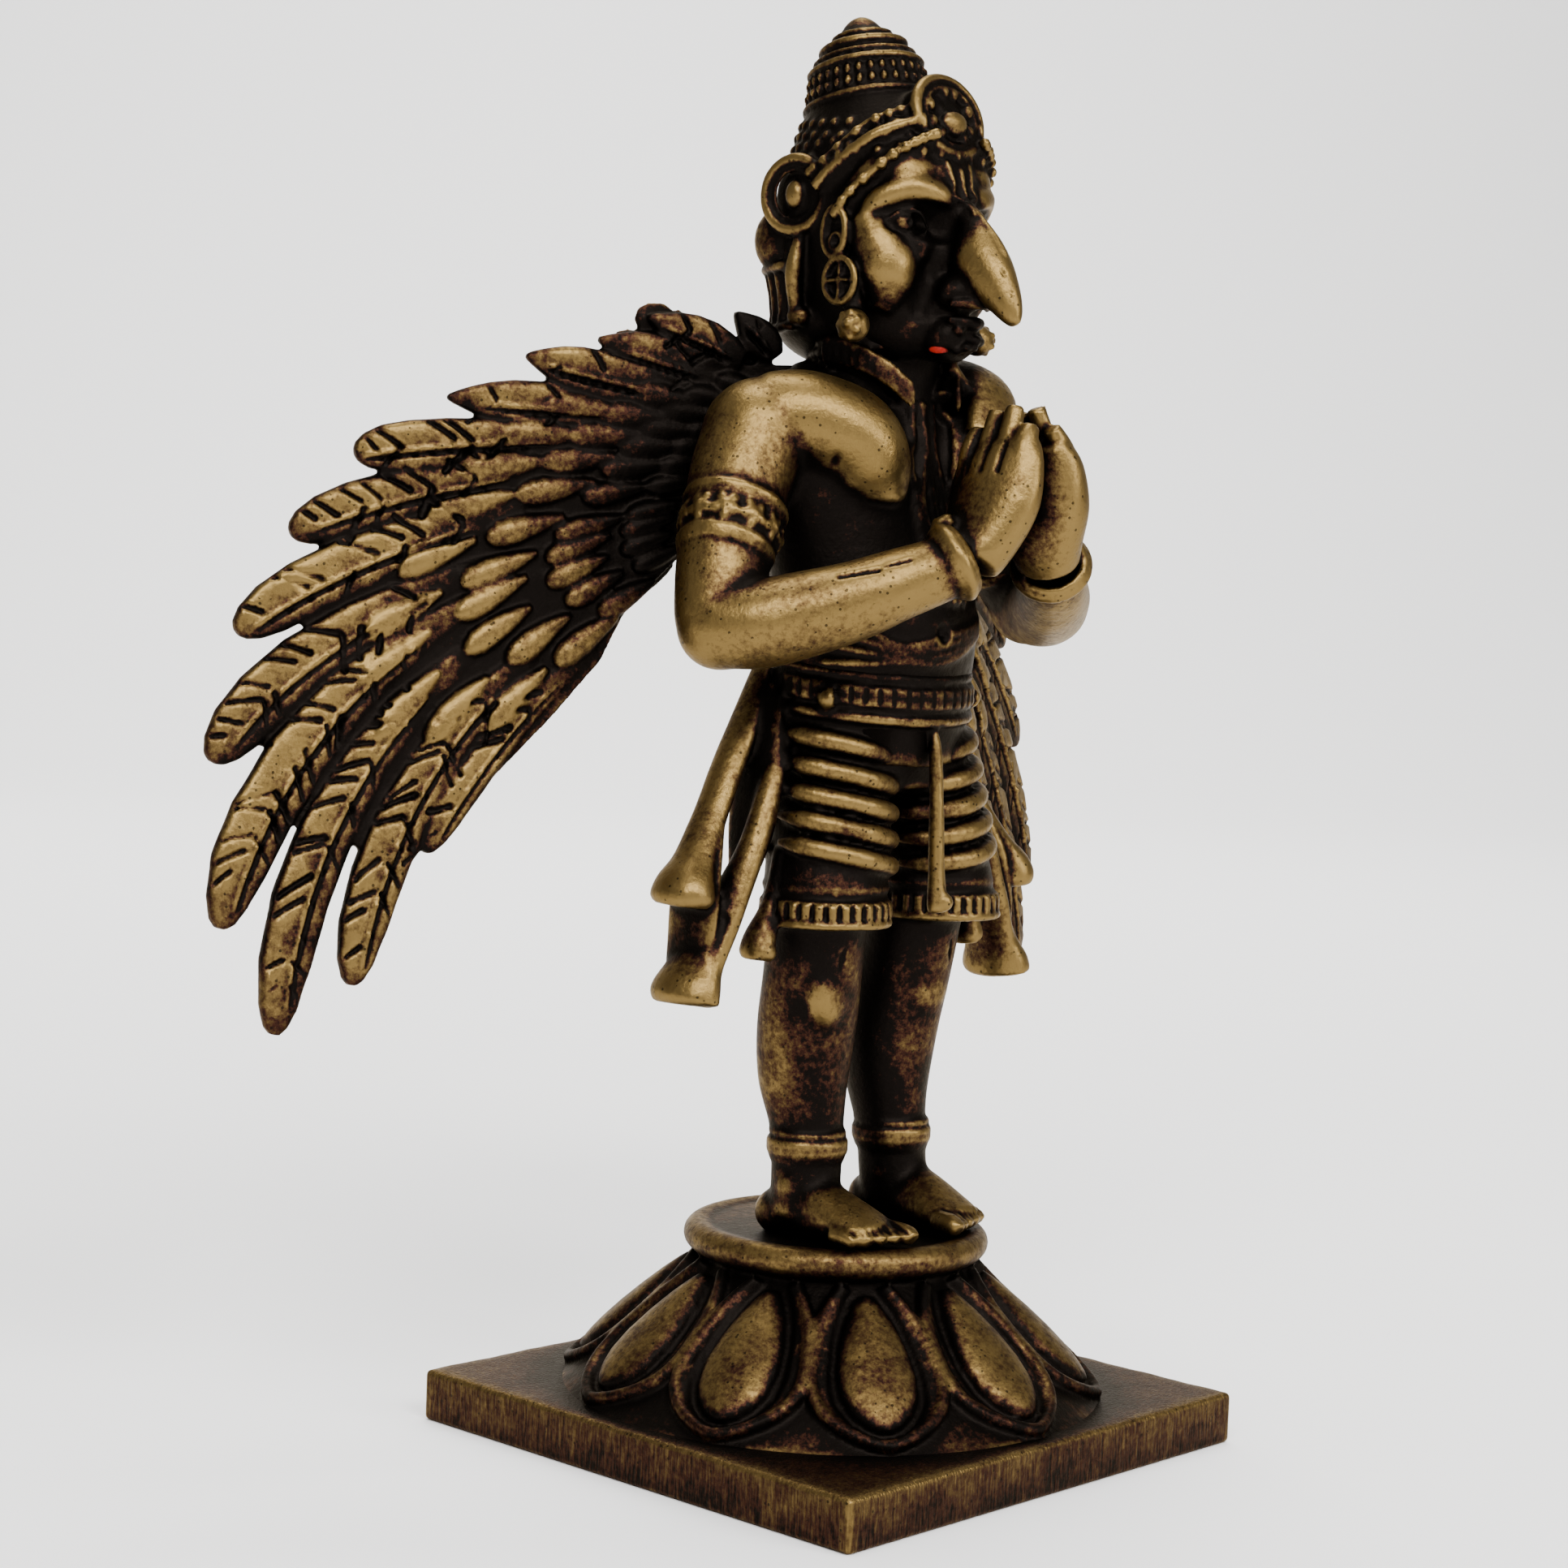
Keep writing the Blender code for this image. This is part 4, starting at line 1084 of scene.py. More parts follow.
WING_ROOT = (9.0, 5.0)
WING_BACK_HIGH = 27.5
WING_BACK_LOW = 20.5
WING_BEND_TOP = 58.0
WING_BEND_LENGTH = 38.0
WING_HALF_THICKNESS = 0.45
WING_STARTS = ((-3.0, 70.0), (-3.0, 57.0))
FEATHER_TIPS = ((1.4, 75.0), (8.8, 74.2), (12.9, 72.2), (18.8, 70.5), (25.1, 66.9),
                (32.4, 62.2), (37.3, 55.7), (41.5, 47.9), (43.4, 37.9), (42.9, 25.3),
                (38.6, 17.0), (32.5, 20.7), (27.6, 28.5))
FEATHER_TURNS = ((-2.5, 71.5), (1.0, 71.6), (4.5, 70.0), (10.5, 68.6), (15.0, 66.6),
                 (19.8, 64.6), (23.5, 62.3), (27.5, 58.8), (34.0, 53.0), (36.0, 52.0),
                 (35.8, 48.8), (28.4, 47.4), (19.5, 46.5))
FEATHER_HALF_WIDTHS = (1.6, 1.9, 2.05, 2.1, 2.0, 2.0, 2.1, 2.25, 2.4, 2.5, 2.3, 2.15,
                       1.4)
FIN_COUNT = 5
WING_SHEET = ((-4.0, 71.0), (4.0, 70.8), (11.0, 69.5), (17.0, 67.3), (24.0, 63.8),
              (29.4, 60.4), (33.8, 55.6), (36.0, 49.6), (36.9, 42.4), (35.8, 35.6),
              (31.6, 31.0), (29.0, 28.6), (26.4, 31.7), (23.1, 34.8), (16.6, 41.3),
              (12.1, 46.4), (10.0, 50.7), (5.3, 55.3), (-4.0, 57.0))
LONG_FEATHER_START = 0.40
FEATHER_TILT = 2.0
BLADE_SHAPE = ((0.0, 0.35), (0.15, 0.6), (0.35, 0.84), (0.55, 1.0), (0.72, 1.02), (0.85, 0.92),
               (0.94, 0.68), (0.985, 0.4), (1.0, 0.16))
FIN_SHAPE = ((0.0, 0.5), (0.2, 0.85), (0.4, 1.0), (0.6, 0.93), (0.74, 0.74), (0.86, 0.48),
             (0.95, 0.25), (1.0, 0.1))
DROP_SHAPE = ((0.0, 0.2), (0.15, 0.5), (0.35, 0.78), (0.6, 1.0), (0.8, 0.98), (0.93, 0.7),
              (1.0, 0.3))
COVERT_ROWS = ((0.09, 3.2, 0.75, 1.6), (0.16, 3.8, 0.85, 1.6), (0.25, 4.9, 1.0, 2.0),
               (0.37, 6.2, 1.15, 2.8), (0.53, 7.4, 1.3, 4.0))
COVERT_SPACING = 0.84
COVERT_HALF_THICKNESS = 0.80
COVERT_LIFT = 0.55
BLADE_HALF_THICKNESS = 0.95
BLADE_SQUARENESS = 0.55
LAST_FEATHER_END = 0.93
BACK_HALF_THICKNESS = 0.5
BACK_LIFT = -0.75
BACK_TILT = -8.0
BACK_ROWS = ((0.15, 5.0, 1.3), (0.34, 6.0, 1.6), (0.54, 6.6, 1.8))


def wing_point(side, out, height, lift):
    """A place on the wing: out along its sheet, up, and lifted off its front."""
    low = min(max((WING_BEND_TOP - height) / WING_BEND_LENGTH, 0.0), 1.0)
    back = radians(WING_BACK_HIGH + (WING_BACK_LOW - WING_BACK_HIGH) * low)
    x = WING_ROOT[0] + out * cos(back) + lift * sin(back)
    y = WING_ROOT[1] + out * sin(back) - lift * cos(back)
    return Vector((x * side, y, height))


def ray_points(ray):
    """Start, turning point and tip of a feather ray, also between two feathers."""
    last = len(FEATHER_TIPS) - 1
    ray = min(max(ray, 0.0), float(last))
    index = min(int(ray), last - 1)
    part = ray - index
    start = Vector(WING_STARTS[0]).lerp(Vector(WING_STARTS[1]), ray / last)
    turn = Vector(FEATHER_TURNS[index]).lerp(Vector(FEATHER_TURNS[index + 1]), part)
    tip = Vector(FEATHER_TIPS[index]).lerp(Vector(FEATHER_TIPS[index + 1]), part)
    return start, turn, tip


def ray_place(ray, part):
    """A place on the curved run of one ray, from the shoulder to its tip."""
    start, turn, tip = ray_points(ray)
    return start.lerp(turn, part).lerp(turn.lerp(tip, part), part)


def feather(bm, side, ray, first, last, half_wide, half_thick, lift, shape, tilt=0.0,
            square=1.0):
    """A leaf-shaped feather along a stretch of its ray, one edge turned down."""
    places = []
    lean = radians(tilt)
    for part, fullness in shape:
        spot = ray_place(ray, first + (last - first) * part)
        ahead = ray_place(ray, first + (last - first) * part + 0.01)
        centre = wing_point(side, spot[0], spot[1], lift)
        along = wing_point(side, ahead[0], ahead[1], lift) - centre
        face_way = (wing_point(side, spot[0], spot[1], lift + 1.0) - centre).normalized()
        across = face_way.cross(along).normalized() * side
        across = across * cos(lean) + face_way * sin(lean)
        places.append(section_frame(centre, along, across, half_wide * fullness,
                                    half_thick * (0.45 + 0.55 * fullness)))
    loft(bm, places, 16, square)


def wing_sheet(bm, side):
    """The thin sheet that joins the feathers."""
    form = bmesh.new()
    front = [form.verts.new((out, height, WING_HALF_THICKNESS)) for out, height in WING_SHEET]
    sheet = form.faces.new(front)
    grown = bmesh.ops.extrude_face_region(form, geom=[sheet])["geom"]
    bmesh.ops.translate(form, vec=(0, 0, -2 * WING_HALF_THICKNESS),
                        verts=[item for item in grown if isinstance(item, bmesh.types.BMVert)])
    bmesh.ops.triangulate(form, faces=form.faces)
    bmesh.ops.subdivide_edges(form, edges=form.edges, cuts=3, use_grid_fill=True)
    for vert in form.verts:
        vert.co = wing_point(side, *vert.co)
    bmesh.ops.recalc_face_normals(form, faces=form.faces)
    add_form(bm, form)


def covert_rays(row, first):
    """The rays on which one row of short feathers sits, offset from row to row."""
    return np.arange(first + 0.5 * COVERT_SPACING * (row % 2), 11.0 + 0.25 * row, COVERT_SPACING)


def ray_reach(ray):
    """The straight length of a ray."""
    return max((ray_place(ray, 1.0) - ray_place(ray, 0.0)).length, 12.0)


def wing(bm, side):
    """The wing's sheet, its long outer feathers and the short rows over them."""
    wing_sheet(bm, side)
    for index, half_wide in enumerate(FEATHER_HALF_WIDTHS):
        shape = FIN_SHAPE if index < FIN_COUNT else BLADE_SHAPE
        last = 1.0 if index < len(FEATHER_TIPS) - 1 else LAST_FEATHER_END
        feather(bm, side, index, LONG_FEATHER_START, last, half_wide, BLADE_HALF_THICKNESS,
                0.10 * (index % 2), shape, FEATHER_TILT, BLADE_SQUARENESS)
    for row, (part, length, half_wide, first) in enumerate(COVERT_ROWS):
        for ray in covert_rays(row, first):
            half = 0.5 * length / ray_reach(ray)
            feather(bm, side, ray, part - half, part + half, half_wide,
                    COVERT_HALF_THICKNESS, COVERT_LIFT, DROP_SHAPE)
    for part, length, wide in BACK_ROWS:
        for ray in range(1, 12):
            feather(bm, side, ray, part, part + length / ray_reach(ray), wide,
                    BACK_HALF_THICKNESS, BACK_LIFT, DROP_SHAPE, BACK_TILT)


def ray_ways(ray, part):
    """A place on a ray, the way along it and the way across it."""
    spot = ray_place(ray, part)
    along = (ray_place(ray, part + 0.01) - spot).normalized()
    return spot, along, Vector((-along[1], along[0]))


QUILL_STEPS = 10


def wing_marks(side):
    """Quill grooves and slanting barb cuts on the long feathers, front and back."""
    strokes = []
    for index, half_wide in enumerate(FEATHER_HALF_WIDTHS):
        spots = [ray_ways(index, 0.5 + 0.47 * step / QUILL_STEPS)
                 for step in range(QUILL_STEPS + 1)]
        for lift in (1.0, -1.0):
            for (spot, _, across), (later, _, beyond) in zip(spots, spots[1:]):
                for shift, radius, depth in ((-0.36, 0.36, -0.34), (-0.18, 0.36, 0.20)):
                    start = spot + across * half_wide * shift
                    end = later + beyond * half_wide * shift
                    strokes.append((wing_point(side, start[0], start[1], lift),
                                    wing_point(side, end[0], end[1], lift), radius, depth))
        reach = (ray_place(index, 1.0) - ray_place(index, 0.45)).length
        count = max(2, int(reach / (4.5 if index < FIN_COUNT else 2.3)))
        for step in range(count):
            part = 0.50 + 0.45 * (step + RANDOM.uniform(0.1, 0.9)) / count
            for way in SIDES:
                if RANDOM.uniform() < (0.2 if way > 0 else 0.45):
                    continue
                spot, along, across = ray_ways(index, part)
                across *= way
                inner = spot + across * half_wide * RANDOM.uniform(0.0, 0.3)
                outer = spot + across * half_wide * RANDOM.uniform(0.8, 1.1) \
                    + along * RANDOM.uniform(1.2, 2.4)
                depth = RANDOM.uniform(0.35, 0.60)
                for lift in (1.0, -1.0):
                    strokes.append((wing_point(side, inner[0], inner[1], lift),
                                    wing_point(side, outer[0], outer[1], lift * 0.92),
                                    RANDOM.uniform(0.26, 0.42), -depth))
    return strokes


# Lotus and plate

DOME_SHARE = 0.96
DOME_CURVE = 1.1
DOME_STEPS = 14


def dome_place(part):
    """Radius and height on the lotus dome, from its neck (0) to its foot (1)."""
    size = sizes()
    reach = size.lotus_neck + (size.lotus_foot - size.lotus_neck) * part ** DOME_CURVE
    height = size.plate_thickness + size.lotus_height * DOME_SHARE * (1 - part)
    return Vector((reach, height))


def petal_point(part, around, lift):
    """A place on the lotus: from its neck to its foot, round it, and raised."""
    run = dome_place(part + 0.02) - dome_place(part - 0.02) if part > 0.02 else Vector((1, -2))
    out = Vector((-run[1], run[0])).normalized() * lift
    spot = dome_place(part) + out
    return Vector((spot[0] * cos(around), spot[0] * sin(around), spot[1]))


PETAL_RELIEF = 0.00115
PETAL_RIM = 0.00056


def petal(bm, around):
    """A swelling almond in a raised, pointed rim, with a finer line between them."""
    spread = pi / sizes().petals
    shape = ((0.10, 0.25), (0.16, 0.5), (0.27, 0.78), (0.42, 0.97), (0.57, 1.0), (0.70, 0.88),
             (0.79, 0.66), (0.86, 0.36), (0.89, 0.1))
    places = []
    for index, (part, fullness) in enumerate(shape):
        centre = petal_point(part, around, PETAL_RELIEF * 0.25)
        ahead = petal_point(shape[min(index + 1, len(shape) - 1)][0], around, 0.0)
        behind = petal_point(shape[max(index - 1, 0)][0], around, 0.0)
        across = Vector((-sin(around), cos(around), 0))
        reach = Vector((centre[0], centre[1], 0)).length
        places.append(section_frame(centre, ahead - behind, across,
                                    reach * spread * 0.58 * fullness,
                                    PETAL_RELIEF * (0.3 + 0.7 * fullness)))
    loft(bm, places, 24)
    rim = ((0.04, 0.50), (0.15, 0.76), (0.28, 0.94), (0.44, 1.0), (0.60, 1.0), (0.73, 0.90),
           (0.83, 0.68), (0.905, 0.40), (0.95, 0.16), (0.965, 0.0))
    outline = [(part, spread * 0.95 * fullness) for part, fullness in rim]
    outline += [(part, -turn) for part, turn in reversed(outline[:-1])]
    path = [petal_point(part, around + turn, PETAL_RIM * 0.7) for part, turn in outline]
    rows = [(*spot, PETAL_RIM) for spot in path]
    limb(bm, rows, wide=Z_AXIS, steps=3, sides=10)
    inner = [petal_point(part, around + turn * 0.80, PETAL_RIM * 0.35) for part, turn in outline]
    limb(bm, [(*spot, PETAL_RIM * 0.60) for spot in inner], wide=Z_AXIS, steps=3, sides=8)


def lotus(bm):
    """The turned dome, its neck and the disc that the feet stand on."""
    size = sizes()
    top = size.plate_thickness + size.lotus_height + size.disc_thickness
    floor = top - size.disc_thickness
    edge = size.disc_thickness * 0.5
    profile = [(size.lotus_foot + 0.0010, size.plate_thickness - 0.0006)]
    profile += [tuple(dome_place(1 - step / DOME_STEPS))
                for step in range(DOME_STEPS + 1)]
    profile += [(size.lotus_neck, floor - 0.0003)]
    for step in range(9):
        angle = -pi / 2 + pi * step / 8
        profile.append((size.disc_radius - edge + edge * cos(angle),
                        floor + edge + edge * sin(angle)))
    profile += [(size.disc_radius - edge * 2.0, top - 0.00025),
                (size.disc_radius * 0.5, top - 0.0002)]
    places = [section_frame(Vector((0, 0, height)), Z_AXIS, X_AXIS, radius, radius)
              for radius, height in profile]
    loft(bm, places, 120)
    for angle in angles(size.petals, -pi / 2):
        petal(bm, angle)


def plate(bm):
    """The square plate under the lotus, its edges a little worn."""
    size = sizes()
    box = Matrix.Diagonal((size.plate_side, size.plate_side, size.plate_thickness, 1.0))
    up = Matrix.Translation((0, 0, size.plate_thickness / 2))
    bmesh.ops.create_cube(bm, size=1.0, matrix=up @ box)
    bmesh.ops.bevel(bm, geom=list(bm.edges), offset=size.plate_edge, affect="EDGES",
                    segments=3, profile=0.5, material=-1)
    cuts = [edge for edge in bm.edges if edge.calc_length() > size.plate_side * 0.5]
    bmesh.ops.subdivide_edges(bm, edges=cuts, cuts=60, use_grid_fill=True)


def wear_plate(item):
    """Dent the plate's edges and corners slightly, as handling does."""
    size = sizes()
    mesh = item.data
    places = points_of(mesh)
    half = size.plate_side / 2
    top = size.plate_thickness
    near_side = np.clip((np.abs(places[:, :2]).max(axis=1) - half + 0.0012) / 0.0012, 0, 1)
    near_top = np.clip((places[:, 2] - top * 0.55) / (top * 0.45), 0, 1)
    wobble = np.sin(places[:, 0] * 730 + 1.3) + np.sin(places[:, 1] * 910) \
        + 0.6 * np.sin((places[:, 0] + places[:, 1]) * 2100)
    places[:, 2] -= near_side * near_top * 0.00003 * (1.6 + wobble)
    set_points(mesh, places)


# Ageing, and where shade is painted

TONES = (((12.0, 0.0, 65.5), (8.0, -3.0, 66.0), 5.6, 0.38),
         ((6.0, -5.0, 65.0), (4.8, -6.0, 61.5), 3.8, 0.48),
         ((19.0, -3.0, 50.5), (9.0, -13.0, 54.0), 4.2, 0.12),
         ((4.6, -17.0, 57.0), (2.5, -18.0, 66.0), 3.4, 0.14),
         ((5.4, -7.0, 80.4), (5.2, -7.0, 78.0), 2.0, 0.44),
         ((5.4, -7.2, 76.4), (5.2, -7.0, 74.8), 1.6, -0.34),
         ((5.2, -1.1, 8.6), (5.2, -1.1, 6.0), 3.8, -0.12),
         ((6.6, -5.0, 84.0), (3.4, -8.0, 86.2), 2.2, 0.48),
         ((1.4, -12.6, 79.2), (0.5, -15.0, 75.5), 2.5, 0.62),
         ((19.9, 0.0, 28.8), (20.0, 0.0, 27.8), 3.4, 0.28),
         ((19.0, -1.0, 20.8), (19.4, -1.0, 20.0), 3.6, 0.24),
         ((0.0, -9.0, 60.0), (0.0, -9.0, 46.0), 7.4, -0.27),
         ((15.5, -0.3, 59.2), (17.5, -1.1, 55.2), 4.4, 0.20),
         ((0.0, 0.0, 76.0), (0.0, -1.0, 70.5), 6.4, -0.30),
         ((0.0, 4.0, 84.0), (0.0, 4.0, 73.0), 8.4, -0.24),
         ((0.0, 1.0, 88.0), (0.0, 2.2, 95.0), 7.4, -0.30),
         ((0.0, -7.6, 91.4), (0.0, -7.6, 90.8), 2.4, -0.24),
         ((0.0, -9.5, 76.0), (0.0, -10.0, 71.5), 3.8, -0.70),
         ((2.2, -9.2, 82.6), (4.4, -8.4, 81.9), 1.9, -0.66),
         ((7.2, 0.0, 72.4), (3.2, -7.0, 69.0), 1.5, -0.24),
         ((0.8, -9.8, 83.4), (1.2, -10.6, 81.4), 1.5, -0.40),
         ((2.4, -9.2, 79.8), (2.6, -8.4, 77.0), 1.8, -0.40),
         ((7.4, -2.0, 81.0), (7.2, -3.4, 74.6), 2.8, -0.06),
         ((5.3, -1.0, 29.6), (5.3, -1.0, 28.8), 4.8, 0.16),
         ((5.6, -4.0, 3.0), (5.3, -8.5, 1.5), 2.8, 0.20),
         # painted shade: the inner sides of the shins, between the legs, made darker
         ((0.0, 0.0, 30.0), (0.0, 0.0, 10.0), 3.5, -0.20),
         ((9.0, 6.0, 66.0), (9.0, 6.0, 54.0), 10.0, -0.20))
BASE_WEAR = {"upper_body": 0.38, "lower_body": 0.24, "head_and_crown": 0.24,
             "right_wing": 0.16, "left_wing": 0.16, "lotus_pedestal": 0.42,
             "square_plate": 0.30}
FINE_REACH = 0.55
BROAD_REACH = 1.7
PIGMENT_SPOTS = (((-2.2, -9.0, 72.3), (1.8, 1.3, 0.42)), ((-0.3, -9.9, 88.6), (0.9, 0.9, 0.5)))


OPENNESS_REACH = 0.16
OPENNESS_RAYS = 40
OPENNESS_PLACES = 7000
OPENNESS_ROUNDS = 14
RAY_LIFT = 0.00015


def spot_weight(places, centre, radii):
    """How far inside a soft oval each place lies, from 0 to 1."""
    gap = (places - np.array(centre)) / np.array(radii)
    return np.exp(-np.einsum("ij,ij->i", gap, gap) * 1.4)


def line_weight(places, start, end, radius):
    """How near each place lies to a line, from 0 to 1, soft beyond the radius."""
    start = np.array(start)
    run = np.array(end) - start
    part = np.clip(((places - start) @ run) / max(float(run @ run), 1e-9), 0, 1)
    gap = np.linalg.norm(places - start - part[:, None] * run, axis=1)
    return np.exp(-(gap / radius) ** 4)


def tone_of(places):
    """How much lighter (above 0) or darker (below 0) its region makes each place, painted shade
    between the legs included.
    """
    total = np.zeros(len(places))
    for start, end, radius, amount in TONES:
        ways = SIDES if start[0] else (1,)
        for side in ways:
            total += amount * line_weight(places, mirrored(start, side), mirrored(end, side),
                                          radius)
    return total


def wing_rub(places):
    """How far each place on a wing stands over its sheet, more so towards the tips."""
    low = np.clip((WING_BEND_TOP - places[:, 2]) / WING_BEND_LENGTH, 0.0, 1.0)
    back = np.radians(WING_BACK_HIGH + (WING_BACK_LOW - WING_BACK_HIGH) * low)
    out = np.abs(places[:, 0]) - WING_ROOT[0]
    behind = places[:, 1] - WING_ROOT[1]
    proud = np.abs(out * np.sin(back) - behind * np.cos(back))
    reach = np.hypot(out, np.maximum(2.0 * (places[:, 2] - 62.0), 62.0 - places[:, 2]))
    tops = np.clip((proud - 0.64) / 0.34, 0.0, 1.0)
    return tops * (0.07 + 0.41 * np.clip((reach - 12.0) / 15.0, 0.0, 1.0))


def store(mesh, name, values):
    """Keep one number for each point under a name that the material reads."""
    layer = mesh.attributes.new(name, "FLOAT", "POINT")
    layer.data.foreach_set("value", values.astype(np.float32))


def openness(pieces):
    """How open each point of the pieces lies, from rays cast at every few points."""
    whole = bmesh.new()
    for item in pieces:
        whole.from_mesh(item.data)
    tree = BVHTree.FromBMesh(whole)
    whole.free()
    reach = sizes().figure_height * OPENNESS_REACH
    count = OPENNESS_RAYS
    golden = pi * (3 - 5 ** 0.5)
    ups = [(step + 0.5) / count for step in range(count)]
    rays = [Vector(((1 - up) ** 0.5 * cos(golden * step), (1 - up) ** 0.5 * sin(golden * step),
                    up ** 0.5)) for step, up in enumerate(ups)]
    results = []
    for item in pieces:
        places = points_of(item.data)
        facing = facing_of(item.data)
        stride = max(1, len(places) // OPENNESS_PLACES)
        picked = range(0, len(places), stride)
        near = KDTree(len(picked))
        light = np.empty(len(picked))
        for order, index in enumerate(picked):
            spot = Vector(places[index])
            turn = Vector(facing[index]).to_track_quat("Z", "Y")
            start = spot + Vector(facing[index]) * RAY_LIFT
            blocked = 0.0
            for ray in rays:
                hit = tree.ray_cast(start, turn @ ray, reach)[3]
                if hit is not None:
                    blocked += 1 - hit / reach
            light[order] = 1 - blocked / count
            near.insert(spot, order)
        near.balance()
        spread = np.array([light[near.find(place)[1]] for place in places])
        results.append(relaxed(spread, edges_of(item.data), OPENNESS_ROUNDS))
    return results


def age_and_shade(pieces):
    """Give each piece its wear with some painted shade in it, its openness and its traces of
    pigment.
    """
    size = sizes()
    rise, share = figure_place()
    for item, light in zip(pieces, openness(pieces)):
        mesh = item.data
        places = points_of(mesh)
        facing = facing_of(mesh)
        edges = edges_of(mesh)
        spans = np.linalg.norm(places[edges[:, 0]] - places[edges[:, 1]], axis=1)
        step = float(spans.mean()) / share
        rises = []
        for far in (FINE_REACH, BROAD_REACH):
            even = relaxed(places, edges, max(2, min(60, round((far / step) ** 2))))
            rises.append(np.einsum("ij,ij->i", places - even, facing) / share)
        fine, broad = rises
        local = (places - np.array((0, 0, rise))) / share
        # The regional tones put painted shade between the legs; low openness lowers the wear as
        # patina in the hollows.
        wear_and_shade = BASE_WEAR[item.name] + tone_of(local) + 0.95 * (light - 0.9)
        if item.name == "square_plate":
            half = size.plate_side / 2
            rim = np.minimum(half - np.abs(places[:, :2]).max(axis=1),
                             np.abs(size.plate_thickness - places[:, 2]))
            corner = np.sort(np.stack((half - np.abs(places[:, 0]), half - np.abs(places[:, 1]),
                                       size.plate_thickness - places[:, 2])), axis=0)[1]
            # The plate's sides are made darker than its top, partly for their own duller tone and
            # partly as painted shade.
            wear_and_shade += 0.5 * np.exp(-corner / 0.0005) - 0.10 * (rim < 1e-5) * (facing[:, 2] < 0.5)
        elif item.name.endswith("_wing"):
            wear_and_shade += wing_rub(local) + 3.0 * np.clip(fine, -0.08, 0.05)
        else:
            if item.name == "lotus_pedestal":
                wear_and_shade += 2.0 * np.clip(fine, -0.08, 0.0) - 4.0 * np.clip(fine - 0.01, 0.0, 0.09)
            else:
                wear_and_shade += 4.5 * np.clip(fine - 0.01, -0.08, 0.09)
            wear_and_shade += 1.2 * np.clip(broad - 0.06, -0.35, 0.25)
        store(mesh, "wear_and_shade", np.clip(wear_and_shade, -0.5, 1.5))
        # The openness is read again by the material, where it darkens the colour as painted shade.
        store(mesh, "openness", light)
        pigment = sum(spot_weight(local, centre, radii) for centre, radii in PIGMENT_SPOTS)
        store(mesh, "pigment", pigment)
        mesh.materials.clear()
        mesh.materials.append(aged_brass_and_shade(item.name == "square_plate"))


# Materials

def node(tree, kind, links=None, **settings):
    """Add a node, set its fields and sockets, and link what feeds it."""
    item = tree.nodes.new(kind)
    for key, value in settings.items():
        if hasattr(item, key):
            setattr(item, key, value)
        else:
            item.inputs[key.replace("_", " ")].default_value = value
    for socket, source in (links or {}).items():
        tree.links.new(source, item.inputs[socket])
    return item


def ramp(tree, source, stops):
    """A straight colour ramp with its stops."""
    item = node(tree, "ShaderNodeValToRGB", {"Fac": source})
    item.color_ramp.interpolation = "LINEAR"
    elements = item.color_ramp.elements
    while len(elements) < len(stops):
        elements.new(0.5)
    for element, (place, colour) in zip(elements, stops):
        element.position = place
        element.color = (*colour, 1.0)
    return item


MIX_FIRST = 6
MIX_SECOND = 7
MIX_RESULT = 2


def per_metre(millimetres):
    """The noise scale whose lumps have the given size."""
    return 1000.0 / millimetres


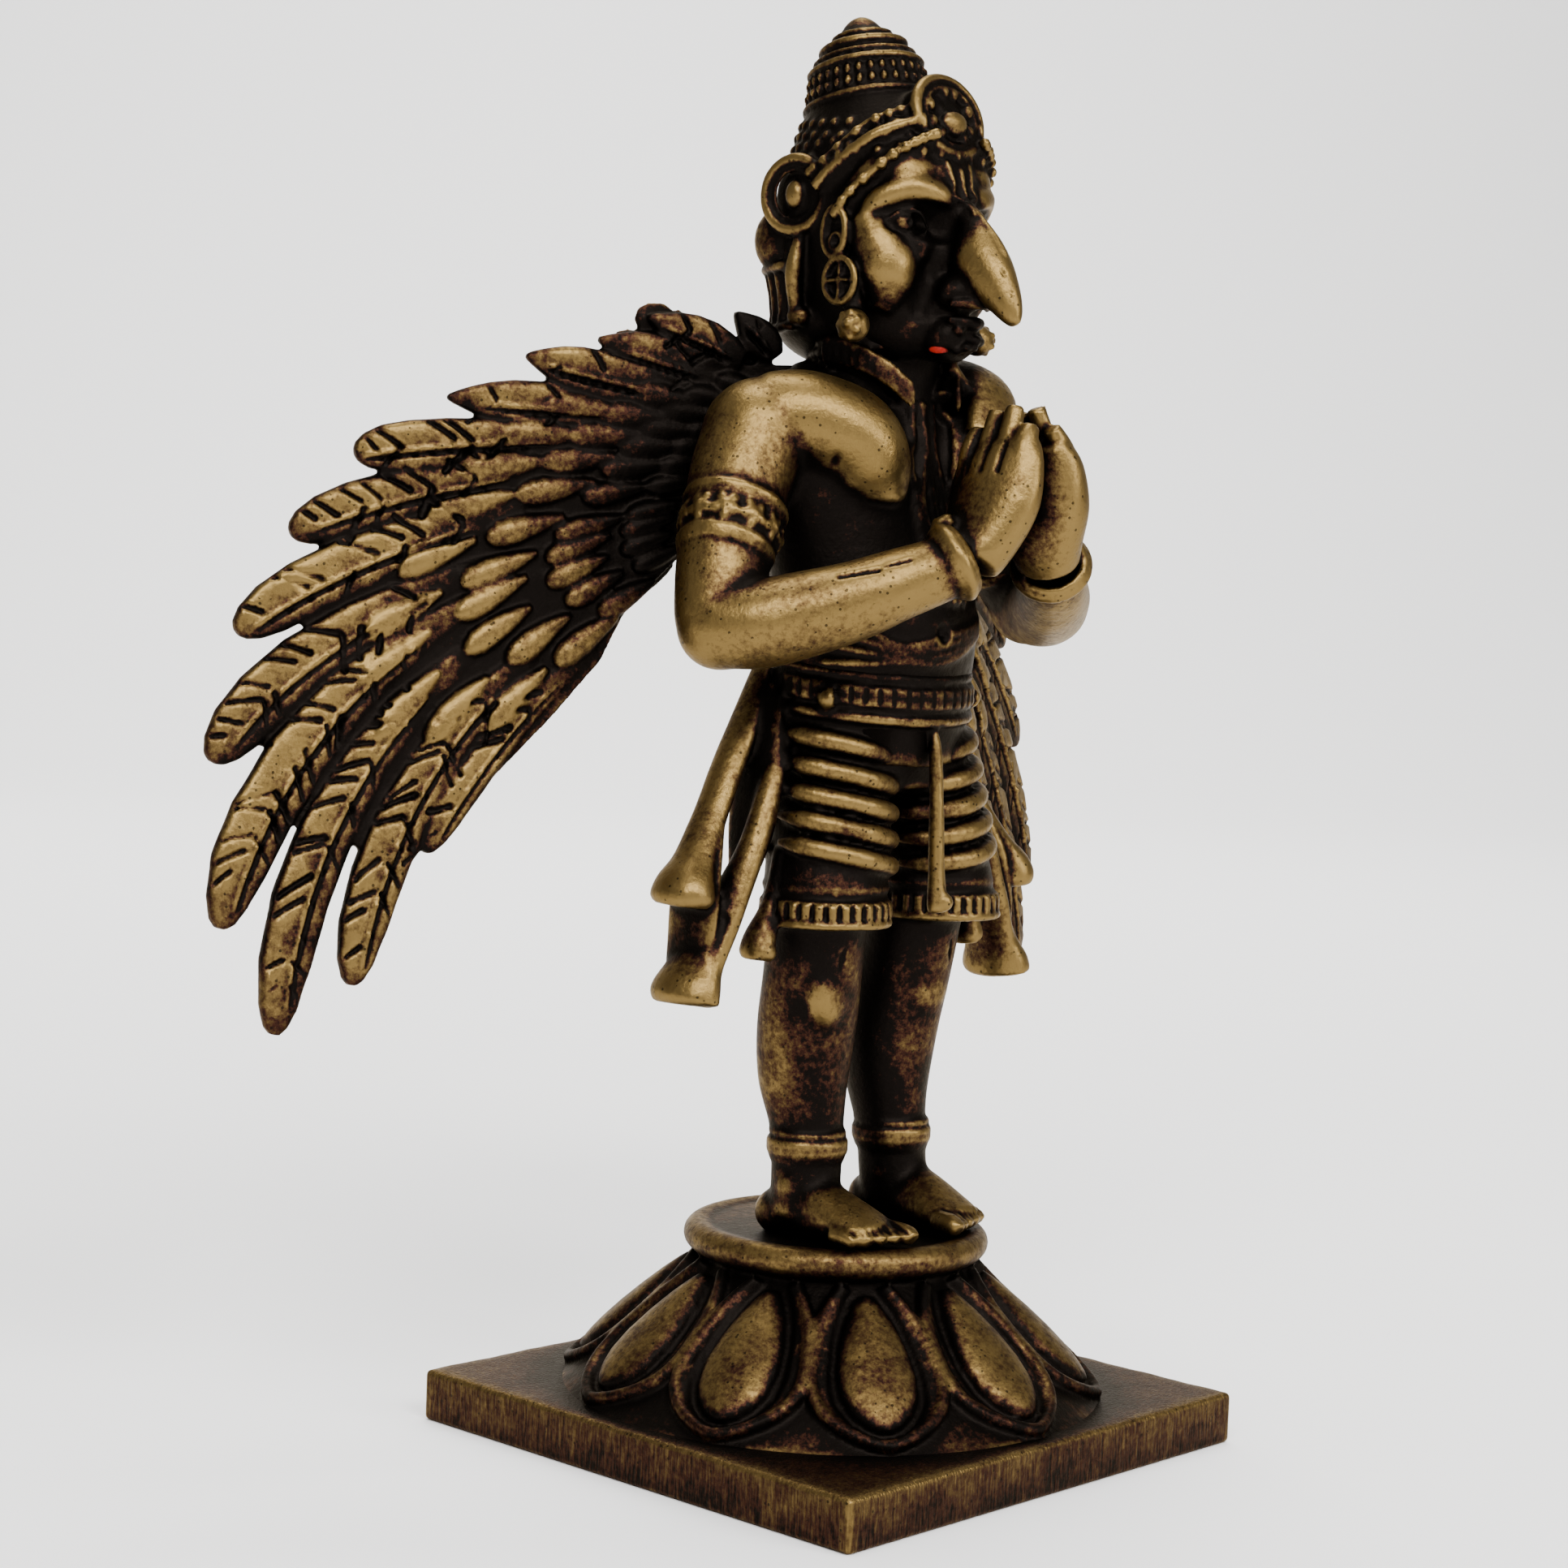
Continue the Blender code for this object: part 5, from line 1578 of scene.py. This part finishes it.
def aged_brass_and_shade(filed):
    """Leaded brass, cast in a lost-wax mould, darkened and rubbed back by hand: olive
    gold on what stands proud, red brown where the dark skin thins, near black below.
    The plate's sides are filed too. Where a point lies closed in, its base colour is also
    darkened as painted shade."""
    name = "filed_brass_and_painted_shade" if filed else "rubbed_brass_and_painted_shade"
    if name in bpy.data.materials:
        return bpy.data.materials[name]
    tone = colours()
    material = bpy.data.materials.new(name)
    material.use_nodes = True
    tree = material.node_tree
    shader = tree.nodes["Principled BSDF"]
    coords = node(tree, "ShaderNodeTexCoord").outputs["Object"]

    def noise(size, detail=3.0, roughness=0.5, vector=coords):
        return node(tree, "ShaderNodeTexNoise", {"Vector": vector}, Scale=per_metre(size),
                    Detail=detail, Roughness=roughness).outputs["Fac"]

    def maths(operation, first, second, clamp=False):
        item = node(tree, "ShaderNodeMath", operation=operation, use_clamp=clamp)
        for socket, value in zip(item.inputs, (first, second)):
            if isinstance(value, (int, float)):
                socket.default_value = value
            else:
                tree.links.new(value, socket)
        return item.outputs[0]

    def swing(source, amount):
        return maths("MULTIPLY", maths("SUBTRACT", source, 0.5), amount)

    def stored(name):
        return node(tree, "ShaderNodeAttribute", attribute_name=name).outputs["Fac"]

    def covered(factor, under, paint):
        item = node(tree, "ShaderNodeMix", {"Factor": factor, MIX_FIRST: under},
                    data_type="RGBA", blend_type="MIX")
        item.inputs[MIX_SECOND].default_value = (*paint, 1.0)
        return item.outputs[MIX_RESULT]

    wear_and_shade = stored("wear_and_shade")
    patchy = 0.5 if filed else 1.0
    blotch = swing(noise(2.8, 5.0, 0.6), 0.80 * patchy)
    speck = swing(noise(0.50, 4.0, 0.7), patchy)
    if filed:
        turned = node(tree, "ShaderNodeMapping", {"Vector": coords}, vector_type="POINT")
        turned.inputs["Rotation"].default_value = (radians(35), radians(35), 0.0)
        turned.inputs["Scale"].default_value = (1.0, 1.0, 0.12)
        strokes = noise(0.22, 2.0, 0.5, turned.outputs["Vector"])
        speck = maths("ADD", speck, swing(strokes, 0.6))
    # The rubbed amount also carries the painted shade that is in the stored wear.
    rub_and_shade = maths("ADD", maths("ADD", wear_and_shade, blotch), speck, clamp=True)
    skin = ramp(tree, rub_and_shade, [(0.24, tone.patina), (0.38, tone.umber), (0.50, tone.dull),
                            (0.78, tone.bright)])

    pits = node(tree, "ShaderNodeTexVoronoi", {"Vector": coords}, Scale=per_metre(0.60),
                Randomness=1.0).outputs["Distance"]
    pit_where = maths("GREATER_THAN", noise(1.7, 2.0), 0.52)
    pit = maths("MULTIPLY", maths("LESS_THAN", pits, 0.20), pit_where)
    pitted = covered(maths("MULTIPLY", pit, 0.75), skin.outputs["Color"], tone.patina)

    traces = maths("MULTIPLY", stored("pigment"), 1.0, clamp=True)
    trace_edge = ramp(tree, maths("ADD", traces, maths("MULTIPLY", blotch, 0.5)),
                      [(0.50, (0, 0, 0)), (0.66, (1, 1, 1))]).outputs["Color"]
    painted = covered(trace_edge, pitted, tone.pigment)
    # Painted shade: the colour is multiplied down to about a third where a point lies closed in.
    painted_shade = ramp(tree, stored("openness"), [(0.15, (0.35, 0.33, 0.32)), (0.6, (1, 1, 1))])
    deep = node(tree, "ShaderNodeMix", {MIX_FIRST: painted, MIX_SECOND: painted_shade.outputs["Color"]},
                Factor=1.0, data_type="RGBA", blend_type="MULTIPLY")
    tree.links.new(deep.outputs[MIX_RESULT], shader.inputs["Base Color"])

    tree.links.new(maths("SUBTRACT", 1.0, trace_edge), shader.inputs["Metallic"])
    shader.inputs["Specular Tint"].default_value = (0.74, 0.70, 0.64, 1.0)
    grain_here = noise(0.30, 5.0, 0.6)
    gloss = ramp(tree, rub_and_shade, [(0.2, (0.50, 0.50, 0.50)), (0.45, (0.48, 0.48, 0.48)),
                             (0.8, (0.38, 0.38, 0.38))]).outputs["Color"]
    tree.links.new(maths("ADD", gloss, swing(grain_here, 0.22)), shader.inputs["Roughness"])

    lumps = maths("MULTIPLY", noise(1.1, 2.0), 0.5)
    height = maths("ADD", maths("ADD", lumps, maths("MULTIPLY", grain_here, 0.32)),
                   maths("MULTIPLY", pit, -0.5))
    if filed:
        height = maths("ADD", height, maths("MULTIPLY", strokes, 0.8))
    bump = node(tree, "ShaderNodeBump", {"Height": height}, Strength=0.75, Distance=0.00015)
    tree.links.new(bump.outputs["Normal"], shader.inputs["Normal"])
    return material


def pale_floor():
    """Matt white studio board: flat, even and without gloss."""
    material = bpy.data.materials.new("matt_studio_board")
    material.use_nodes = True
    shader = material.node_tree.nodes["Principled BSDF"]
    shader.inputs["Base Color"].default_value = (*colours().floor, 1.0)
    shader.inputs["Roughness"].default_value = 0.9
    shader.inputs["Specular IOR Level"].default_value = 0.2
    return material


# Operators

COARSE_SKIN = 1.3


def build_figure_piece(name, base, details, marks, grain, softening, lumps, hollows=()):
    """Fuse a base, lay its details on it, fuse both, carve and settle the piece."""
    item = new_piece(name, base)
    cast_skin(item, grain * COARSE_SKIN, softening[0])
    if hollows:
        carve(item, hollows)
    add_details(item, details)
    cast_skin(item, grain, softening[1])
    carve(item, marks)
    roughen(item, *lumps)
    settle(item)


class BuildUpperBody(Operator):
    """Torso, arms, joined palms, necklace and the cloth over the shoulder"""

    bl_idname = "garuda.upper_body"
    bl_label = "Build upper body"

    def execute(self, context):
        build_figure_piece("upper_body", upper_base, upper_details, upper_marks(),
                           sizes().body_grain, (8, 2), (0.10, 5.0))
        return {"FINISHED"}


class BuildLowerBody(Operator):
    """Belt, wrapped dhoti, scarf ends, bare shins and feet"""

    bl_idname = "garuda.lower_body"
    bl_label = "Build lower body"

    def execute(self, context):
        build_figure_piece("lower_body", lower_base, lower_details, lower_marks(),
                           sizes().body_grain, (8, 2), (0.10, 5.0))
        return {"FINISHED"}


class BuildHead(Operator):
    """Face with its hooked beak, hair, ear drops and tiered crown"""

    bl_idname = "garuda.head"
    bl_label = "Build head and crown"

    def execute(self, context):
        build_figure_piece("head_and_crown", head_base, head_details, face_marks(),
                           sizes().head_grain, (10, 1), (0.06, 4.0), head_hollows())
        return {"FINISHED"}


class BuildWings(Operator):
    """Both wings with their long feathers and short overlapping rows"""

    bl_idname = "garuda.wings"
    bl_label = "Build wings"

    def execute(self, context):
        for side, name in zip(SIDES, ("right_wing", "left_wing")):
            item = new_piece(name, lambda bm, way=side: wing(bm, way))
            cast_skin(item, sizes().wing_grain, 1)
            carve(item, wing_marks(side))
            roughen(item, 0.12, 4.0)
            settle(item)
        return {"FINISHED"}


class BuildLotus(Operator):
    """Turned lotus dome with its petals, its neck and the standing disc"""

    bl_idname = "garuda.lotus"
    bl_label = "Build lotus pedestal"

    def execute(self, context):
        item = new_piece("lotus_pedestal", lotus)
        cast_skin(item, sizes().lotus_grain * sizes().figure_height / 100, 2)
        lighten(item)
        item.data.shade_smooth()
        dress(item)
        return {"FINISHED"}


class BuildPlate(Operator):
    """Square plate with slightly worn edges"""

    bl_idname = "garuda.plate"
    bl_label = "Build square plate"

    def execute(self, context):
        item = new_piece("square_plate", plate)
        wear_plate(item)
        item.data.shade_smooth()
        dress(item)
        return {"FINISHED"}


PIECES = ("upper_body", "lower_body", "head_and_crown", "right_wing", "left_wing",
          "lotus_pedestal", "square_plate")


class AgeAndShadeBrass(Operator):
    """Work out where hands have rubbed the brass, where the patina stays and where shade is
    painted
    """

    bl_idname = "garuda.age"
    bl_label = "Age and shade the brass"

    def execute(self, context):
        age_and_shade([bpy.data.objects[name] for name in PIECES])
        return {"FINISHED"}


CAMERA_PLACE = (-0.19403, -0.17392, 0.07184)
CAMERA_RIGHT = (0.6851, -0.7275, 0.0374)
CAMERA_UP = (0.0227, 0.0727, 0.9971)
CAMERA_LENS = 72.0
LIGHTS = (("key_softbox", (-0.42, -0.30, 0.46), 0.24, 3.6, (0.0, 0.0, 0.06)),
          ("front_softbox", (0.14, -0.50, 0.24), 0.20, 1.7, (0.0, 0.0, 0.06)),
          ("top_softbox", (0.06, 0.08, 0.66), 0.30, 3.4, (0.0, 0.0, 0.0)),
          ("floor_softbox", (-0.20, -0.62, 0.55), 0.30, 6.0, (-0.22, -0.42, 0.0)),
          ("wall_softbox", (0.30, 0.34, 0.72), 0.50, 12.0, (0.80, 0.92, 0.12)))
WORLD_STRENGTH = 0.48
FLOOR_NEAR = 2.2
FLOOR_FAR = -0.7
WALL_BEND = 0.6
WALL_TOP = 2.4
BEND_STEPS = 16
FLOOR_HALF_WIDTH = 3.0
FLOOR_TURN = -41.5


def backdrop(bm):
    """A floor that sweeps up behind the statue in one soft curve."""
    profile = [(FLOOR_NEAR, 0.0), (FLOOR_FAR, 0.0)]
    profile += [(FLOOR_FAR - WALL_BEND * sin(angle), WALL_BEND - WALL_BEND * cos(angle))
                for angle in (pi / 2 * step / BEND_STEPS for step in range(1, BEND_STEPS + 1))]
    profile += [(FLOOR_FAR - WALL_BEND, WALL_TOP)]
    away = Matrix.Rotation(radians(FLOOR_TURN), 4, "Z")
    first = [bm.verts.new(away @ Vector((-FLOOR_HALF_WIDTH, -place, height)))
             for place, height in profile]
    edges = [bm.edges.new(pair) for pair in zip(first, first[1:])]
    grown = bmesh.ops.extrude_edge_only(bm, edges=edges)["geom"]
    bmesh.ops.translate(bm, vec=away @ Vector((2 * FLOOR_HALF_WIDTH, 0, 0)),
                        verts=[item for item in grown if isinstance(item, bmesh.types.BMVert)])
    bmesh.ops.recalc_face_normals(bm, faces=bm.faces)


class BuildStage(Operator):
    """Pale floor, soft lights and the camera"""

    bl_idname = "garuda.stage"
    bl_label = "Set the stage"

    def execute(self, context):
        scene = context.scene
        board = new_piece("studio_floor", backdrop)
        board.data.shade_smooth()
        board.data.materials.append(pale_floor())
        world = bpy.data.worlds.new("soft_room")
        scene.world = world
        world.use_nodes = True
        room = world.node_tree.nodes["Background"]
        room.inputs["Color"].default_value = (1.0, 0.995, 0.985, 1.0)
        room.inputs["Strength"].default_value = WORLD_STRENGTH
        for name, place, side, power, aim in LIGHTS:
            lamp = bpy.data.lights.new(name, "AREA")
            lamp.size = side
            lamp.energy = power
            item = bpy.data.objects.new(name, lamp)
            item.location = place
            item.rotation_euler = (Vector(aim) - Vector(place)).to_track_quat("-Z", "Y").to_euler()
            scene.collection.objects.link(item)
        lens = bpy.data.cameras.new("camera")
        lens.lens = CAMERA_LENS
        lens.sensor_width = 36.0
        lens.clip_start = 0.01
        camera = bpy.data.objects.new("camera", lens)
        right = Vector(CAMERA_RIGHT).normalized()
        back = right.cross(Vector(CAMERA_UP)).normalized()
        up = back.cross(right)
        turn = Matrix((right, up, back)).transposed().to_4x4()
        camera.matrix_world = Matrix.Translation(CAMERA_PLACE) @ turn
        scene.collection.objects.link(camera)
        scene.camera = camera
        return {"FINISHED"}


class GarudaPanel(Panel):
    """Sizes, colours and the steps that build the statue"""

    bl_idname = "VIEW3D_PT_garuda"
    bl_label = "Brass garuda"
    bl_space_type = "VIEW_3D"
    bl_region_type = "UI"
    bl_category = "Garuda"

    def draw(self, context):
        layout = self.layout
        for group in (context.scene.garuda_sizes, context.scene.garuda_colours):
            column = layout.column()
            for name in group.__annotations__:
                column.prop(group, name)
        for step in STEPS:
            layout.operator(step.bl_idname)


STEPS = (BuildUpperBody, BuildLowerBody, BuildHead, BuildWings, BuildLotus, BuildPlate,
         AgeAndShadeBrass, BuildStage)
CLASSES = (GarudaSizes, GarudaColours, *STEPS, GarudaPanel)


def register():
    """Add the classes and the scene's groups of settings."""
    for item in CLASSES:
        bpy.utils.register_class(item)
    bpy.types.Scene.garuda_sizes = PointerProperty(type=GarudaSizes)
    bpy.types.Scene.garuda_colours = PointerProperty(type=GarudaColours)


def unregister():
    """Take the groups and the classes away again."""
    del bpy.types.Scene.garuda_colours
    del bpy.types.Scene.garuda_sizes
    for item in reversed(CLASSES):
        bpy.utils.unregister_class(item)


def main():
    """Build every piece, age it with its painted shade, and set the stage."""
    register()
    for step in STEPS:
        area, name = step.bl_idname.split(".")
        getattr(getattr(bpy.ops, area), name)()


if __name__ == "__main__":
    main()
